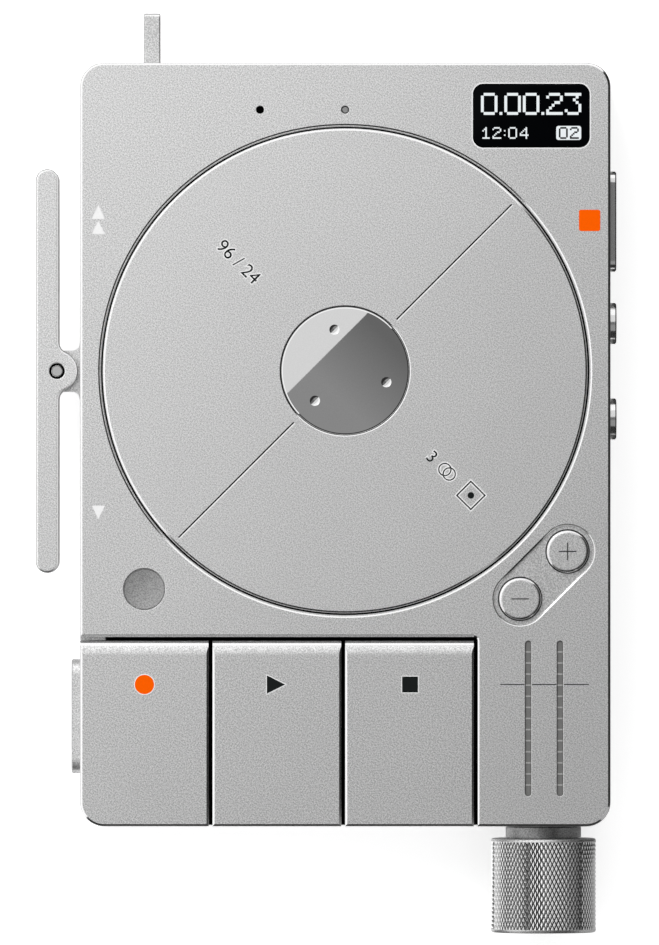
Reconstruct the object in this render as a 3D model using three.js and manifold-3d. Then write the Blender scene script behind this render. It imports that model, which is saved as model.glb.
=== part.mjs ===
// A pocket field recorder lying on its back: X to the right, Y up the front face, Z out of it.
// The origin is on the back plane, under the middle of the reel. All lengths are millimetres.
import * as THREE from 'three';
import { mergeVertices } from 'three/addons/utils/BufferGeometryUtils.js';
import Module from 'manifold-3d';

const wasm = await Module();
wasm.setup();

// Fits shared by every piece
const clearance = 0.3;
const slideGap = 0.15;
const overrun = 1;

// Case, milled as a tub and closed by a plate at the back
const caseWidth = 68;
const caseDepth = 16;
const cornerRadius = 3.1;
const edgeChamfer = 0.3;
const sideWall = 1.6;
const facePlateShare = 0.1;
const backPlate = 1.5;
const reelLand = 2.7;
const topBand = 8.2;
const keyBand = 2.8;
const keyBayLength = 24.3;
const controlWidth = 17;
const bayWall = 1.2;
const rimChamfer = 0.2;

// Screws that hold the back plate, and the posts they bite into
const postInset = 3.3;
const postRadius = 1.8;
const screwRadius = 0.75;
const screwHeadRadius = 1.5;
const screwHeadHeight = 0.7;
const screwBite = 3.1;
const screwSocketRadius = 0.6;

// Reel, turned by a motor under its floor
const reelGap = 0.18;
const reelThicknessShare = 0.1625;
const reelChamfer = 0.3;
const reelUnderGap = 0.4;
const pocketFloor = 1;
const pocketWall = 1.2;
const hubRadius = 8.2;
const hubCapThickness = 1.1;
const hubGap = 0.12;
const hubCrown = 0.12;
const crownShoulderShare = 0.75;
const hubEdge = 0.12;
const hubPinPitch = 5.47;
const hubPinRadius = 0.64;
const hubPinDepth = 0.3;
const dimpleMouthShare = 1.5;
const hubPinCount = 3;
const hubPinDegrees = 104.6;

// Motor
const shaftRadius = 1;
const bearingRadius = 2.9;
const bearingTubeWall = 1.3;
const bearingLip = 0.6;
const rotorRadius = 11.6;
const rotorWall = 1.1;
const rotorPlate = 0.8;
const motorGap = 0.6;
const rotorCollar = 1.2;
const statorYoke = 1.4;
const statorSlotWidth = 1.1;
const statorSlots = 9;
const fullTurnDegrees = 360;

// Display window in the top right corner
const windowWidthShare = 0.2206;
const windowAspectShare = 0.5467;
const windowRoundShare = 0.1646;
const windowSideInset = 2.65;
const windowTopInset = 2.7;
const windowThickness = 1.4;
const windowSink = 0.05;
const moduleMargin = 0.75;
const moduleThickness = 1.8;

// Two small holes in the top band
const faceHoleInset = 6.05;
const faceHoleRadius = 0.49;
const lightPipeRadius = 0.39;
const microphoneOffset = 10.9;
const microphoneLength = 3.4;
const microphoneWidth = 2.6;
const microphoneHeight = 1;

// Speaker behind a dished mesh cover
const speakerSideShare = 0.1215;
const speakerRiseShare = 0.0899;
const speakerHoleRadius = 2.67;
const speakerLedge = 0.6;
const speakerCoverThickness = 0.6;
const speakerDish = 0.3;
const speakerRadiusShare = 0.0676;
const speakerFrameHeight = 1.4;
const magnetRadius = 3.2;
const magnetHeight = 1.6;

// Volume buttons in a slanted pill-shaped recess beside the reel
const volumeReachShare = 0.0768;
const volumeDegrees = -45.8;
const volumeSlantDegrees = 45;
const volumeSpacingShare = 0.1265;
const volumeRecessShare = 0.049;
const volumeRecessDepth = 0.9;
const volumeRadiusShare = 0.0397;
const volumeProud = 0.3;
const volumeEdge = 0.3;
const volumeFlange = 0.5;
const volumeFlangeHeight = 0.4;
const volumeNub = 0.8;
const volumeNubHeight = 0.2;
const volumeTravel = 0.3;
const domeRadius = 1.8;
const domeHeight = 0.2;
const domeGap = 0.1;
const boardThickness = 0.8;
const controlBoardThickness = 0.5;

// Level meters: two slots with a segmented light bar in each
const meterSpacing = 4.08;
const meterTopInset = 0.5;
const meterBottomInset = 3.9;
const meterSlotWidth = 0.77;
const meterBarGap = 0.05;
const meterSegments = 14;
const meterNotchWidth = 0.2;
const meterNotchDepth = 0.3;
const meterSink = 0.15;
const meterFootWidth = 1.8;
const meterFootHeight = 0.8;

// Transport keys, hinged on one axle near their upper edge
const keyCount = 3;
const keyGap = 0.52;
const keyHeightShare = 0.4;
const keyTop = 1.4;
const keyWall = 1.2;
const keyEdgeChamfer = 0.3;
const keyBrow = 1.8;
const keyFallShare = 0.1125;
const bayFloor = 1.2;
const axleRadius = 0.75;
const axleInset = 3.6;
const axleRise = 2.2;
const axleWebWidth = 1.2;
const axleWebShare = 0.3034;
const axleWebReach = 2;
const axlePostWidth = 2.4;
const axlePostHalf = 1.7;
const axleEndInset = 0.5;
const keySwitchReach = 11;
const keySwitchSize = 4.5;
const keySwitchHeight = 2;
const keyPlungerRadius = 1;
const keyPlungerHeight = 1;
const keyPressGap = 0.8;
const keyPressRadius = 1.2;
const keyPressDegrees = 3;
const keyBoardDepth = 6.6;
const springStrip = 2;
const springSheet = 0.4;
const springFingerWidth = 2.4;
const springFingerShare = 0.2913;
const springFingerReach = 7;
const springStandoff = 1.1;

// Rocker lever on the left side
const leverGap = 2.76;
const leverWidth = 3;
const leverLength = 51.9;
const leverThickness = 6.4;
const leverChamfer = 0.35;
const leverEarRadius = 2.68;
const leverFillet = 1.3;
const pivotInset = 0.27;
const pivotPinRadius = 0.7;
const pivotPinSink = 0.35;
const pivotDimple = 0.35;
const tongueThickness = 2;
const tongueEndRadius = 1.7;
const stemHalf = 2.65;
const stemFlare = 0.95;
const footHalf = 5;
const footThickness = 1;
const footMargin = 1;
const coilThickness = 0.6;
const coilWidth = 0.45;
const coilLegOffset = 0.75;
const sensorThickness = 0.6;
const sensorHalf = 4;

// Buttons on the right side
const sideProud = 0.87;
const sideEdge = 0.25;
const sideFlangeShare = 0.0438;
const sideFlangeThickness = 0.7;
const sideTravel = 0.5;
const sideSwitchThickness = 1.2;
const sideSwitchLength = 3.6;
const sideSwitchHeight = 3;
const memoPlaceShare = 0.615;
const memoLength = 12.88;
const memoRadiusShare = 0.0906;
const roundButtonPlaceShare = 0.1962;
const roundButtonShare = 0.165;
const sideBoardMargin = 1;

// Button at the foot of the left side
const leftButtonDrop = 9.8;
const leftButtonLength = 14.7;
const leftButtonRadiusShare = 0.1188;
const leftButtonProud = 1.03;
const leftBoardHalf = 6;

// Power lever in the top edge
const powerInset = 9.18;
const powerWidth = 2.15;
const powerDepth = 2.6;
const powerProud = 6.5;
const powerCorner = 0.5;
const powerPivotInset = 4.1;
const powerTail = 1.2;
const powerTailGap = 0.6;
const powerTiltDegrees = 9;
const powerBodyHalf = 3.4;
const powerBodyLength = 6.6;
const powerBodyHeight = 5.4;

// Sockets in the top edge
const jackCount = 3;
const jackPitchShare = 0.1471;
const jackMiddleShare = -0.0588;
const jackWidthShare = 0.6;
const jackHeightShare = 0.375;
const jackLength = 12.2;
const jackNoseRadius = 2.45;
const jackBoreRadius = 1.8;
const jackBoreDepth = 11;
const dataPlaceShare = 0.2574;
const dataWidth = 8.9;
const dataHeight = 3.2;
const dataLength = 7;
const dataSkin = 0.3;
const dataTongueWidth = 6.6;
const dataTongueHeight = 0.7;
const dataFloor = 1.2;

// Main board and battery
const boardBottomShare = 0.4026;
const boardEndGap = 0.6;
const chipHeight = 0.5;
const chipSizes = [7, 5, 4];
const chipAcrossShares = [-0.719, -0.703, 0.686];
const chipUpShares = [0.192, 0.575, 0.064];
const batterySideGap = 5.1;
const batteryEndGap = 1.6;
const standoffRadius = 1.6;
const standoffInset = 5.5;
const standoffEdge = 3;

// Output socket and the adapter plugged into it
const plugRadiusShare = 0.747;
const plugLength = 30;
const plugTipLength = 4.4;
const plugTipShare = 0.913;
const plugNeckShare = 0.661;
const plugRingCount = 2;
const plugRingWidth = 0.8;
const plugRingDepth = 0.25;
const plugRingSpacing = 5.2;
const socketBack = 1;
const socketBossLength = 2;
const socketBossWall = 0.8;
const neckRadiusShare = 0.3031;
const neckLength = 1.65;
const shellRadiusShare = 0.4225;
const shellLength = 12.1;
const shellChamfer = 0.4;
const shellWallShare = 0.296;
const shellEnd = 2.2;
const shellMouth = 3.2;
const knurlMargin = 0.4;
const knurlPitch = 1.3;
const knurlRowPitch = 2.6;
const knurlDepth = 0.26;
const adapterBoreRadius = 1.8;
const adapterJackRadius = 2.9;

// Facets round a curve
const largeSides = 64;
const hubSides = 40;
const mediumSides = 24;
const smallSides = 16;
const tinySides = 8;
const hexSides = 6;
const cornerSegments = 3;
const slotSegments = 4;
const pillSegments = 5;
const browSegments = 6;

// Edges of the case and the levels inside it, all from the sizes above
const facePlate = caseDepth * facePlateShare;
const reelThickness = caseDepth * reelThicknessShare;
const keyHeight = caseDepth * keyHeightShare;
const keyFall = caseDepth * keyFallShare;
const roundButtonRadius = caseDepth * roundButtonShare;
const memoRadius = caseDepth * memoRadiusShare;
const sideFlange = caseDepth * sideFlangeShare;
const leftButtonRadius = caseDepth * leftButtonRadiusShare;
const jackHeight = caseDepth * jackHeightShare;
const neckRadius = caseDepth * neckRadiusShare;
const shellRadius = caseDepth * shellRadiusShare;
const shellWall = shellRadius * shellWallShare;
const windowWidth = caseWidth * windowWidthShare;
const windowHeight = windowWidth * windowAspectShare;
const windowRadius = windowHeight * windowRoundShare;
const speakerRadius = caseWidth * speakerRadiusShare;
const volumeReach = caseWidth * volumeReachShare;
const volumeSpacing = caseWidth * volumeSpacingShare;
const volumeRecessRadius = caseWidth * volumeRecessShare;
const volumeRadius = caseWidth * volumeRadiusShare;
const jackPitch = caseWidth * jackPitchShare;
const jackWidth = jackPitch * jackWidthShare;
const caseRight = caseWidth / 2;
const caseLeft = -caseRight;
const reelHoleRadius = caseRight - reelLand;
const caseTop = reelHoleRadius + topBand;
const memoCentre = reelHoleRadius * memoPlaceShare;
const roundButtonOffset = reelHoleRadius * roundButtonPlaceShare;
const boardBottom = -reelHoleRadius * boardBottomShare;
const bayTop = -(reelHoleRadius + keyBand);
const caseBottom = bayTop - keyBayLength;
const bayRight = caseRight - controlWidth;
const faceZ = caseDepth;
const plateZ = faceZ - facePlate;
const portZ = caseDepth / 2;
const pocketZ = faceZ - reelThickness - reelUnderGap;
const pocketUnderZ = pocketZ - pocketFloor;
const boardTopZ = portZ - jackHeight / 2;
const boardZ = boardTopZ - boardThickness;
const keyUnderZ = faceZ - keyHeight;
const bayFloorZ = keyUnderZ - keyFall;
const bayUnderZ = bayFloorZ - bayFloor;
const rotorZ = boardTopZ + motorGap;
const rotorTopZ = pocketUnderZ - motorGap;
const statorZ = rotorZ + rotorPlate + motorGap;
const statorTopZ = rotorTopZ - motorGap;
const tubeZ = statorZ + motorGap;
const tubeBoreRadius = bearingRadius + clearance;
const tubeRadius = tubeBoreRadius + bearingTubeWall;
const outputX = (bayRight + caseRight) / 2;
const faceHoleY = caseTop - faceHoleInset;
const socketMouth = caseBottom + sideWall;
const keyWidth = (bayRight - caseLeft) / keyCount - keyGap;
const axleWebOffset = keyWidth * axleWebShare;
const springFingerOffset = keyWidth * springFingerShare;
const keyEdge = bayTop - keyGap;
const axleY = keyEdge - axleInset;
const axleZ = keyUnderZ + axleRise;
const axleBore = axleRadius + clearance;
const pivotX = caseLeft - leverGap - pivotInset;
const controlBoardTopZ = plateZ - clearance - volumeFlangeHeight - volumeNubHeight - volumeTravel
  - domeGap - domeHeight;
const socketRadius = controlBoardTopZ - controlBoardThickness - portZ - slideGap;
const plugRadius = socketRadius * plugRadiusShare;
const plugTipRadius = plugRadius * plugTipShare;
const plugNeckRadius = plugRadius * plugNeckShare;
const sideFlangeX = caseRight - sideWall - clearance - sideFlangeThickness;
const boardHalf = sideFlangeX - sideTravel - clearance;
const shellTop = caseBottom - neckLength;
const shellBottom = shellTop - shellLength;
const coilZ = portZ + tongueThickness / 2 + clearance;
const keyPlaces = Array.from({ length: keyCount }, (_, i) => caseLeft + keyWidth / 2 + i * (keyWidth + keyGap));
const keyBoardZ = bayFloorZ + clearance;
const keySwitchTopZ = keyBoardZ + controlBoardThickness + keySwitchHeight + keyPlungerHeight;
const keySwitchY = axleY - keySwitchReach;
const axleStart = keyPlaces[0] - axleWebOffset - axleWebWidth / 2 - axleEndInset;
const axleEnd = keyPlaces[keyCount - 1] + axleWebOffset + axleWebWidth / 2 + axleEndInset;

const radians = THREE.MathUtils.degToRad;

// Solids and meshes

function solidOf(geometry) {
  const bare = geometry.clone();
  bare.deleteAttribute('normal');
  bare.deleteAttribute('uv');
  const merged = mergeVertices(bare);
  const corners = merged.index.array;
  const kept = [];
  for (let i = 0; i < corners.length; i += 3) {
    const [a, b, c] = [corners[i], corners[i + 1], corners[i + 2]];
    if (a !== b && b !== c && c !== a) {
      kept.push(a, b, c);
    }
  }
  return new wasm.Manifold(new wasm.Mesh({
    numProp: 3,
    vertProperties: new Float32Array(merged.attributes.position.array),
    triVerts: new Uint32Array(kept),
  }));
}

function geometryOf(solid) {
  const { vertProperties, triVerts } = solid.getMesh();
  const geometry = new THREE.BufferGeometry();
  geometry.setAttribute('position', new THREE.BufferAttribute(vertProperties, 3));
  geometry.setIndex(new THREE.BufferAttribute(triVerts, 1));
  geometry.computeVertexNormals();
  return geometry;
}

const join = (...solids) => solids.reduce((whole, solid) => whole.add(solid));
const cut = (solid, ...cutters) => cutters.reduce((rest, cutter) => rest.subtract(cutter), solid);

function box(x0, x1, y0, y1, z0, z1) {
  const geometry = new THREE.BoxGeometry(x1 - x0, y1 - y0, z1 - z0);
  geometry.translate((x0 + x1) / 2, (y0 + y1) / 2, (z0 + z1) / 2);
  return solidOf(geometry);
}

// Round bars along each axis: the second radius is the one at the far end.
function rodZ(x, y, radius, z0, z1, sides, farRadius = radius) {
  const geometry = new THREE.CylinderGeometry(farRadius, radius, z1 - z0, sides);
  geometry.rotateX(Math.PI / 2);
  geometry.translate(x, y, (z0 + z1) / 2);
  return solidOf(geometry);
}

function rodY(x, z, radius, y0, y1, sides, farRadius = radius) {
  const geometry = new THREE.CylinderGeometry(farRadius, radius, y1 - y0, sides);
  geometry.translate(x, (y0 + y1) / 2, z);
  return solidOf(geometry);
}

function rodX(y, z, radius, x0, x1, sides, farRadius = radius) {
  const geometry = new THREE.CylinderGeometry(farRadius, radius, x1 - x0, sides);
  geometry.rotateZ(-Math.PI / 2);
  geometry.translate((x0 + x1) / 2, y, z);
  return solidOf(geometry);
}

// A closed profile of [radius, height] points, turned about Z or about Y.
function turned(profile, sides) {
  let area = 0;
  profile.forEach(([r, h], i) => {
    const [nextR, nextH] = profile[(i + 1) % profile.length];
    area += r * nextH - nextR * h;
  });
  const ordered = area > 0 ? profile : [...profile].reverse();
  const points = [...ordered, ordered[0]].map(([r, h]) => new THREE.Vector2(r, h));
  return new THREE.LatheGeometry(points, sides);
}

function turnedZ(profile, x, y, sides) {
  const geometry = turned(profile, sides);
  geometry.rotateX(Math.PI / 2);
  geometry.translate(x, y, 0);
  return solidOf(geometry);
}

function turnedY(profile, x, z, sides) {
  const geometry = turned(profile, sides);
  geometry.translate(x, 0, z);
  return solidOf(geometry);
}

function roundedShape(x0, x1, y0, y1, radius) {
  const shape = new THREE.Shape();
  shape.absarc(x1 - radius, y0 + radius, radius, -Math.PI / 2, 0);
  shape.absarc(x1 - radius, y1 - radius, radius, 0, Math.PI / 2);
  shape.absarc(x0 + radius, y1 - radius, radius, Math.PI / 2, Math.PI);
  shape.absarc(x0 + radius, y0 + radius, radius, -Math.PI, -Math.PI / 2);
  shape.closePath();
  return shape;
}

// A pill between two centres.
function pillShape(ax, ay, bx, by, radius) {
  const along = Math.atan2(by - ay, bx - ax);
  const shape = new THREE.Shape();
  shape.absarc(bx, by, radius, along - Math.PI / 2, along + Math.PI / 2);
  shape.absarc(ax, ay, radius, along + Math.PI / 2, along - Math.PI / 2);
  shape.closePath();
  return shape;
}

function polygonShape(points) {
  return new THREE.Shape(points.map(([x, y]) => new THREE.Vector2(x, y)));
}

function slabGeometry(shape, z0, z1, segments = cornerSegments) {
  const settings = { depth: z1 - z0, bevelEnabled: false, curveSegments: segments };
  return new THREE.ExtrudeGeometry(shape, settings).translate(0, 0, z0);
}

function slab(shape, z0, z1, segments = cornerSegments) {
  return solidOf(slabGeometry(shape, z0, z1, segments));
}

// A slab whose edges are chamfered all round at both ends.
function chamferedGeometry(shape, z0, z1, chamfer, segments = cornerSegments) {
  const settings = {
    depth: z1 - z0 - chamfer * 2,
    bevelEnabled: true,
    bevelThickness: chamfer,
    bevelSize: chamfer,
    bevelOffset: -chamfer,
    bevelSegments: 1,
    curveSegments: segments,
  };
  return new THREE.ExtrudeGeometry(shape, settings).translate(0, 0, z0 + chamfer);
}

// Turns a slab drawn in (Y, Z) so that it is extruded along X, or drawn in (Z, X) along Y.
const alongX = new THREE.Matrix4().makeBasis(
  new THREE.Vector3(0, 1, 0), new THREE.Vector3(0, 0, 1), new THREE.Vector3(1, 0, 0));
const alongY = new THREE.Matrix4().makeBasis(
  new THREE.Vector3(0, 0, 1), new THREE.Vector3(1, 0, 0), new THREE.Vector3(0, 1, 0));

const slabX = (shape, x0, x1, segments) => solidOf(slabGeometry(shape, x0, x1, segments).applyMatrix4(alongX));
const slabY = (shape, y0, y1, segments) => solidOf(slabGeometry(shape, y0, y1, segments).applyMatrix4(alongY));

const part = new THREE.Group();

function addPart(name, solid, material) {
  const mesh = new THREE.Mesh(geometryOf(solid), material);
  mesh.name = name;
  part.add(mesh);
}

function finish(color, roughness, metalness) {
  return new THREE.MeshStandardMaterial({ color, roughness, metalness, flatShading: true });
}

const satinAluminium = finish(0xc6c6c5, 0.45, 1);
const mirrorMetal = finish(0xd0d0d0, 0.08, 1);
const steel = finish(0x9a9a9c, 0.3, 1);
const blackGlass = finish(0x050506, 0.05, 0);
const blackPlastic = finish(0x17181a, 0.5, 0);
const smokedPlastic = finish(0x6b6b69, 0.5, 0);
const greyMesh = finish(0x8e8e8e, 0.6, 1);
const circuitBoard = finish(0x1d3b2b, 0.5, 0);
const copper = finish(0xb06a3b, 0.35, 1);
const foil = finish(0x3c3f45, 0.4, 0);
const gold = finish(0xc9a250, 0.3, 1);

// Case and back plate

const caseOutline = roundedShape(caseLeft, caseRight, caseBottom, caseTop, cornerRadius);

function caseBlank(z0, z1) {
  const both = solidOf(chamferedGeometry(caseOutline, 0, caseDepth, edgeChamfer));
  return both.intersect(box(caseLeft - overrun, caseRight + overrun,
    caseBottom - overrun, caseTop + overrun, z0, z1));
}

const postPlaces = [
  [caseLeft + postInset, caseTop - postInset],
  [caseRight - postInset, caseTop - postInset],
  [caseLeft + postInset, caseBottom + postInset],
  [caseRight - postInset, caseBottom + postInset],
];

function volumePlaces() {
  const reach = reelHoleRadius + volumeReach;
  const middleX = reach * Math.cos(radians(volumeDegrees));
  const middleY = reach * Math.sin(radians(volumeDegrees));
  const stepX = volumeSpacing / 2 * Math.cos(radians(volumeSlantDegrees));
  const stepY = volumeSpacing / 2 * Math.sin(radians(volumeSlantDegrees));
  return {
    plus: [middleX + stepX, middleY + stepY],
    minus: [middleX - stepX, middleY - stepY],
    middle: [middleX, middleY],
  };
}

const volume = volumePlaces();
const windowRight = caseRight - windowSideInset;
const windowLeft = windowRight - windowWidth;
const windowTop = caseTop - windowTopInset;
const windowBottom = windowTop - windowHeight;
const speakerX = caseLeft + caseWidth * speakerSideShare;
const speakerY = bayTop + caseWidth * speakerRiseShare;
const meterTop = bayTop - meterTopInset;
const meterBottom = caseBottom + meterBottomInset;
const meterPlaces = [outputX - meterSpacing / 2, outputX + meterSpacing / 2];
const meterRadius = meterSlotWidth / 2;
const powerX = caseLeft + powerInset;
const powerPivotY = caseTop - powerPivotInset;
const jackPlaces = Array.from({ length: jackCount }, (_, i) => caseWidth * jackMiddleShare
  + (i - (jackCount - 1) / 2) * jackPitch);
const dataX = caseWidth * dataPlaceShare;
const leftButtonY = keyEdge - leftButtonDrop;
const leftButtonZ = (backPlate + bayUnderZ) / 2;

// The hollow of the tub: one level under the face plate, one under the key bay.
function caseHollow() {
  const innerLeft = caseLeft + sideWall;
  const innerRight = caseRight - sideWall;
  const innerBottom = caseBottom + sideWall;
  const innerTop = caseTop - sideWall;
  const shared = bayTop + bayWall * 2;
  const upper = box(innerLeft, innerRight, bayTop + bayWall, innerTop, 0, plateZ);
  const column = box(bayRight + bayWall, innerRight, innerBottom, shared, 0, plateZ);
  const lower = box(innerLeft, innerRight, innerBottom, shared, 0, bayUnderZ);
  return join(upper, column, lower);
}

// Each post reaches up to the key bay's floor, or stops under the output socket beside it.
function casePosts() {
  const socketBore = socketRadius + clearance;
  return postPlaces.map(([x, y]) => {
    const aside = x - postRadius - outputX;
    const underSocket = portZ - Math.sqrt(Math.max(0, socketBore ** 2 - aside ** 2));
    const top = y < 0 && x > 0 ? underSocket : bayUnderZ + bayFloor / 2;
    return rodZ(x, y, postRadius, backPlate, top, tinySides);
  });
}

// A cutter that chamfers the rim where an outline opens through the front face.
function rimCutter(shape, chamfer, segments) {
  const settings = {
    depth: overrun,
    bevelEnabled: true,
    bevelThickness: chamfer,
    bevelSize: chamfer,
    bevelSegments: 1,
    curveSegments: segments,
  };
  return solidOf(new THREE.ExtrudeGeometry(shape, settings).translate(0, 0, faceZ));
}

const windowShape = (inset) => roundedShape(windowLeft + inset, windowRight - inset,
  windowBottom + inset, windowTop - inset, windowRadius - inset);

function frontHoles() {
  const above = faceZ + overrun;
  const holes = [
    slab(windowShape(0), plateZ - overrun, above),
    rimCutter(windowShape(0), rimChamfer, cornerSegments),
  ];
  for (const x of [-microphoneOffset, 0]) {
    holes.push(rodZ(x, faceHoleY, faceHoleRadius, plateZ - overrun, above, tinySides));
  }
  holes.push(rodZ(speakerX, speakerY, speakerHoleRadius, faceZ - speakerCoverThickness - clearance,
    above, mediumSides));
  holes.push(rodZ(speakerX, speakerY, speakerHoleRadius - speakerLedge, plateZ - overrun, above, smallSides));
  const recess = pillShape(...volume.minus, ...volume.plus, volumeRecessRadius);
  holes.push(slab(recess, faceZ - volumeRecessDepth, above, pillSegments));
  holes.push(rimCutter(recess, rimChamfer, pillSegments));
  for (const [x, y] of [volume.plus, volume.minus]) {
    holes.push(rodZ(x, y, volumeRadius + slideGap, plateZ - overrun, above, mediumSides));
  }
  for (const x of meterPlaces) {
    const slot = pillShape(x, meterBottom + meterRadius, x, meterTop - meterRadius, meterRadius);
    holes.push(slab(slot, plateZ - overrun, above, slotSegments));
  }
  return holes;
}

function sideHoles() {
  const holes = [];
  const rightWall = [caseRight - sideWall - overrun, caseRight + overrun];
  const memo = pillShape(memoCentre - memoLength / 2 + memoRadius, portZ,
    memoCentre + memoLength / 2 - memoRadius, portZ, memoRadius + slideGap);
  holes.push(slabX(memo, ...rightWall, pillSegments));
  for (const y of [roundButtonOffset, -roundButtonOffset]) {
    holes.push(rodX(y, portZ, roundButtonRadius + slideGap, ...rightWall, smallSides));
  }
  const leftWall = [caseLeft - overrun, caseLeft + sideWall + overrun];
  const reach = leftButtonLength / 2 - leftButtonRadius;
  const left = pillShape(leftButtonY - reach, leftButtonZ, leftButtonY + reach, leftButtonZ,
    leftButtonRadius + slideGap);
  holes.push(slabX(left, ...leftWall, pillSegments));
  const tongueHalf = tongueThickness / 2 + clearance;
  holes.push(box(...leftWall, -stemHalf - clearance, stemHalf + clearance,
    portZ - tongueHalf, portZ + tongueHalf));
  return holes;
}

function endHoles() {
  const topWall = [caseTop - sideWall - overrun, caseTop + overrun];
  const holes = jackPlaces.map((x) => rodY(x, portZ, jackNoseRadius + slideGap, ...topWall, smallSides));
  const dataHalf = dataWidth / 2 + slideGap;
  const dataRadius = dataHeight / 2 + slideGap;
  const data = pillShape(portZ, dataX - dataHalf + dataRadius, portZ, dataX + dataHalf - dataRadius,
    dataRadius);
  holes.push(slabY(data, ...topWall, slotSegments));
  const lean = powerPivotInset * Math.tan(radians(powerTiltDegrees));
  const slotHalf = powerDepth / 2 + lean + clearance;
  holes.push(box(powerX - powerWidth / 2 - clearance, powerX + powerWidth / 2 + clearance, ...topWall,
    portZ - slotHalf, portZ + slotHalf));
  holes.push(rodY(outputX, portZ, plugRadius + clearance, caseBottom - overrun,
    socketMouth + socketBossLength + overrun, mediumSides));
  holes.push(rodY(outputX, portZ, socketRadius + clearance, socketMouth,
    socketMouth + socketBossLength + overrun, mediumSides));
  return holes;
}

// The reel's floor with the tube that carries its bearing, and its walls under the face.
function reelPocket() {
  const cup = rodZ(0, 0, reelHoleRadius + pocketWall, pocketUnderZ, faceZ - edgeChamfer, largeSides);
  const tube = rodZ(0, 0, tubeRadius, tubeZ, pocketUnderZ + pocketFloor / 2, mediumSides);
  return join(cup, tube);
}

function reelPocketCuts() {
  const opening = rodZ(0, 0, reelHoleRadius, pocketZ, faceZ + overrun, largeSides);
  const rim = rodZ(0, 0, reelHoleRadius, faceZ - reelChamfer, faceZ + overrun, largeSides,
    reelHoleRadius + reelChamfer + overrun);
  const bore = rodZ(0, 0, tubeBoreRadius, tubeZ + bearingLip, pocketZ + overrun, mediumSides);
  const neck = rodZ(0, 0, shaftRadius + motorGap, tubeZ - overrun, pocketZ, mediumSides);
  return [opening, rim, bore, neck];
}

function keyBay() {
  const space = box(caseLeft - overrun, bayRight, caseBottom - overrun, bayTop, bayFloorZ, faceZ + overrun);
  const postTop = axleZ + axlePostHalf;
  const posts = keyPlaces.map((x) => box(x - axlePostWidth / 2, x + axlePostWidth / 2,
    axleY - axlePostHalf, axleY + axlePostHalf, bayFloorZ - bayFloor / 2, postTop));
  return { space, posts, bore: rodX(axleY, axleZ, axleBore, axleStart, axleEnd, tinySides) };
}

function frontCase() {
  const bay = keyBay();
  const blank = caseBlank(backPlate, faceZ);
  const tub = cut(blank, caseHollow());
  const inner = join(reelPocket(), ...casePosts());
  const socketBoss = rodY(outputX, portZ, socketRadius + clearance + socketBossWall, socketMouth - sideWall / 2,
    socketMouth + socketBossLength, mediumSides);
  const boardPost = rodZ(...volume.middle, volumeNub, controlBoardTopZ + clearance, plateZ + facePlate / 2,
    tinySides);
  const full = join(tub, inner, socketBoss, boardPost).intersect(blank);
  const open = cut(full, ...reelPocketCuts(), bay.space);
  const withPosts = cut(join(open, ...bay.posts), bay.bore);
  const bites = postPlaces.map(([x, y]) => rodZ(x, y, screwRadius + clearance, 0,
    backPlate + screwBite + clearance, tinySides));
  return cut(withPosts, ...frontHoles(), ...sideHoles(), ...endHoles(), ...bites);
}

addPart('front_case', frontCase(), satinAluminium);

function screwSeats() {
  return postPlaces.flatMap(([x, y]) => [
    rodZ(x, y, screwHeadRadius + slideGap, -overrun, screwHeadHeight + slideGap, smallSides),
    rodZ(x, y, screwRadius + slideGap, -overrun, backPlate + overrun, tinySides),
  ]);
}

function backCover() {
  const standoffX = caseRight - standoffInset;
  const standoffs = [boardBottom + standoffEdge, caseTop - sideWall - standoffInset * 2].flatMap((y) => [
    rodZ(-standoffX, y, standoffRadius, backPlate / 2, boardZ - clearance, tinySides),
    rodZ(standoffX, y, standoffRadius, backPlate / 2, boardZ - clearance, tinySides),
  ]);
  return cut(join(caseBlank(0, backPlate), ...standoffs), ...screwSeats());
}

addPart('back_cover', backCover(), satinAluminium);

function coverScrew(x, y) {
  const head = rodZ(x, y, screwHeadRadius, slideGap / 2, screwHeadHeight, smallSides);
  const shank = rodZ(x, y, screwRadius, screwHeadHeight / 2, backPlate + screwBite, tinySides);
  const socket = rodZ(x, y, screwSocketRadius, -overrun, screwHeadHeight / 2 + slideGap, hexSides);
  return cut(join(head, shank), socket);
}

postPlaces.forEach(([x, y], i) => addPart(`cover_screw_${i + 1}`, coverScrew(x, y), steel));

// Reel and motor

const hubSeatZ = faceZ - hubCapThickness - clearance;

function reelDisc() {
  const radius = reelHoleRadius - reelGap;
  const under = faceZ - reelThickness;
  return turnedZ([
    [shaftRadius + clearance, under],
    [radius, under],
    [radius, faceZ - reelChamfer],
    [radius - reelChamfer, faceZ],
    [hubRadius + hubGap, faceZ],
    [hubRadius + hubGap, hubSeatZ],
    [shaftRadius + clearance, hubSeatZ],
  ], 0, 0, largeSides);
}

function hubCap() {
  const cap = turnedZ([
    [0, hubSeatZ + clearance],
    [hubRadius, hubSeatZ + clearance],
    [hubRadius, faceZ - hubEdge],
    [hubRadius - hubEdge, faceZ],
    [hubRadius / 2, faceZ + hubCrown * crownShoulderShare],
    [0, faceZ + hubCrown],
  ], 0, 0, hubSides);
  const pins = Array.from({ length: hubPinCount }, (_, i) => {
    const angle = radians(hubPinDegrees + i * fullTurnDegrees / hubPinCount);
    return rodZ(hubPinPitch * Math.cos(angle), hubPinPitch * Math.sin(angle), hubPinRadius / 2,
      faceZ - hubPinDepth, faceZ + hubPinDepth, tinySides, hubPinRadius * dimpleMouthShare);
  });
  return cut(cap, ...pins);
}

addPart('reel_disc', reelDisc(), satinAluminium);
addPart('hub_cap', hubCap(), mirrorMetal);
addPart('motor_shaft', rodZ(0, 0, shaftRadius, rotorZ, hubSeatZ, smallSides), steel);

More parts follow.
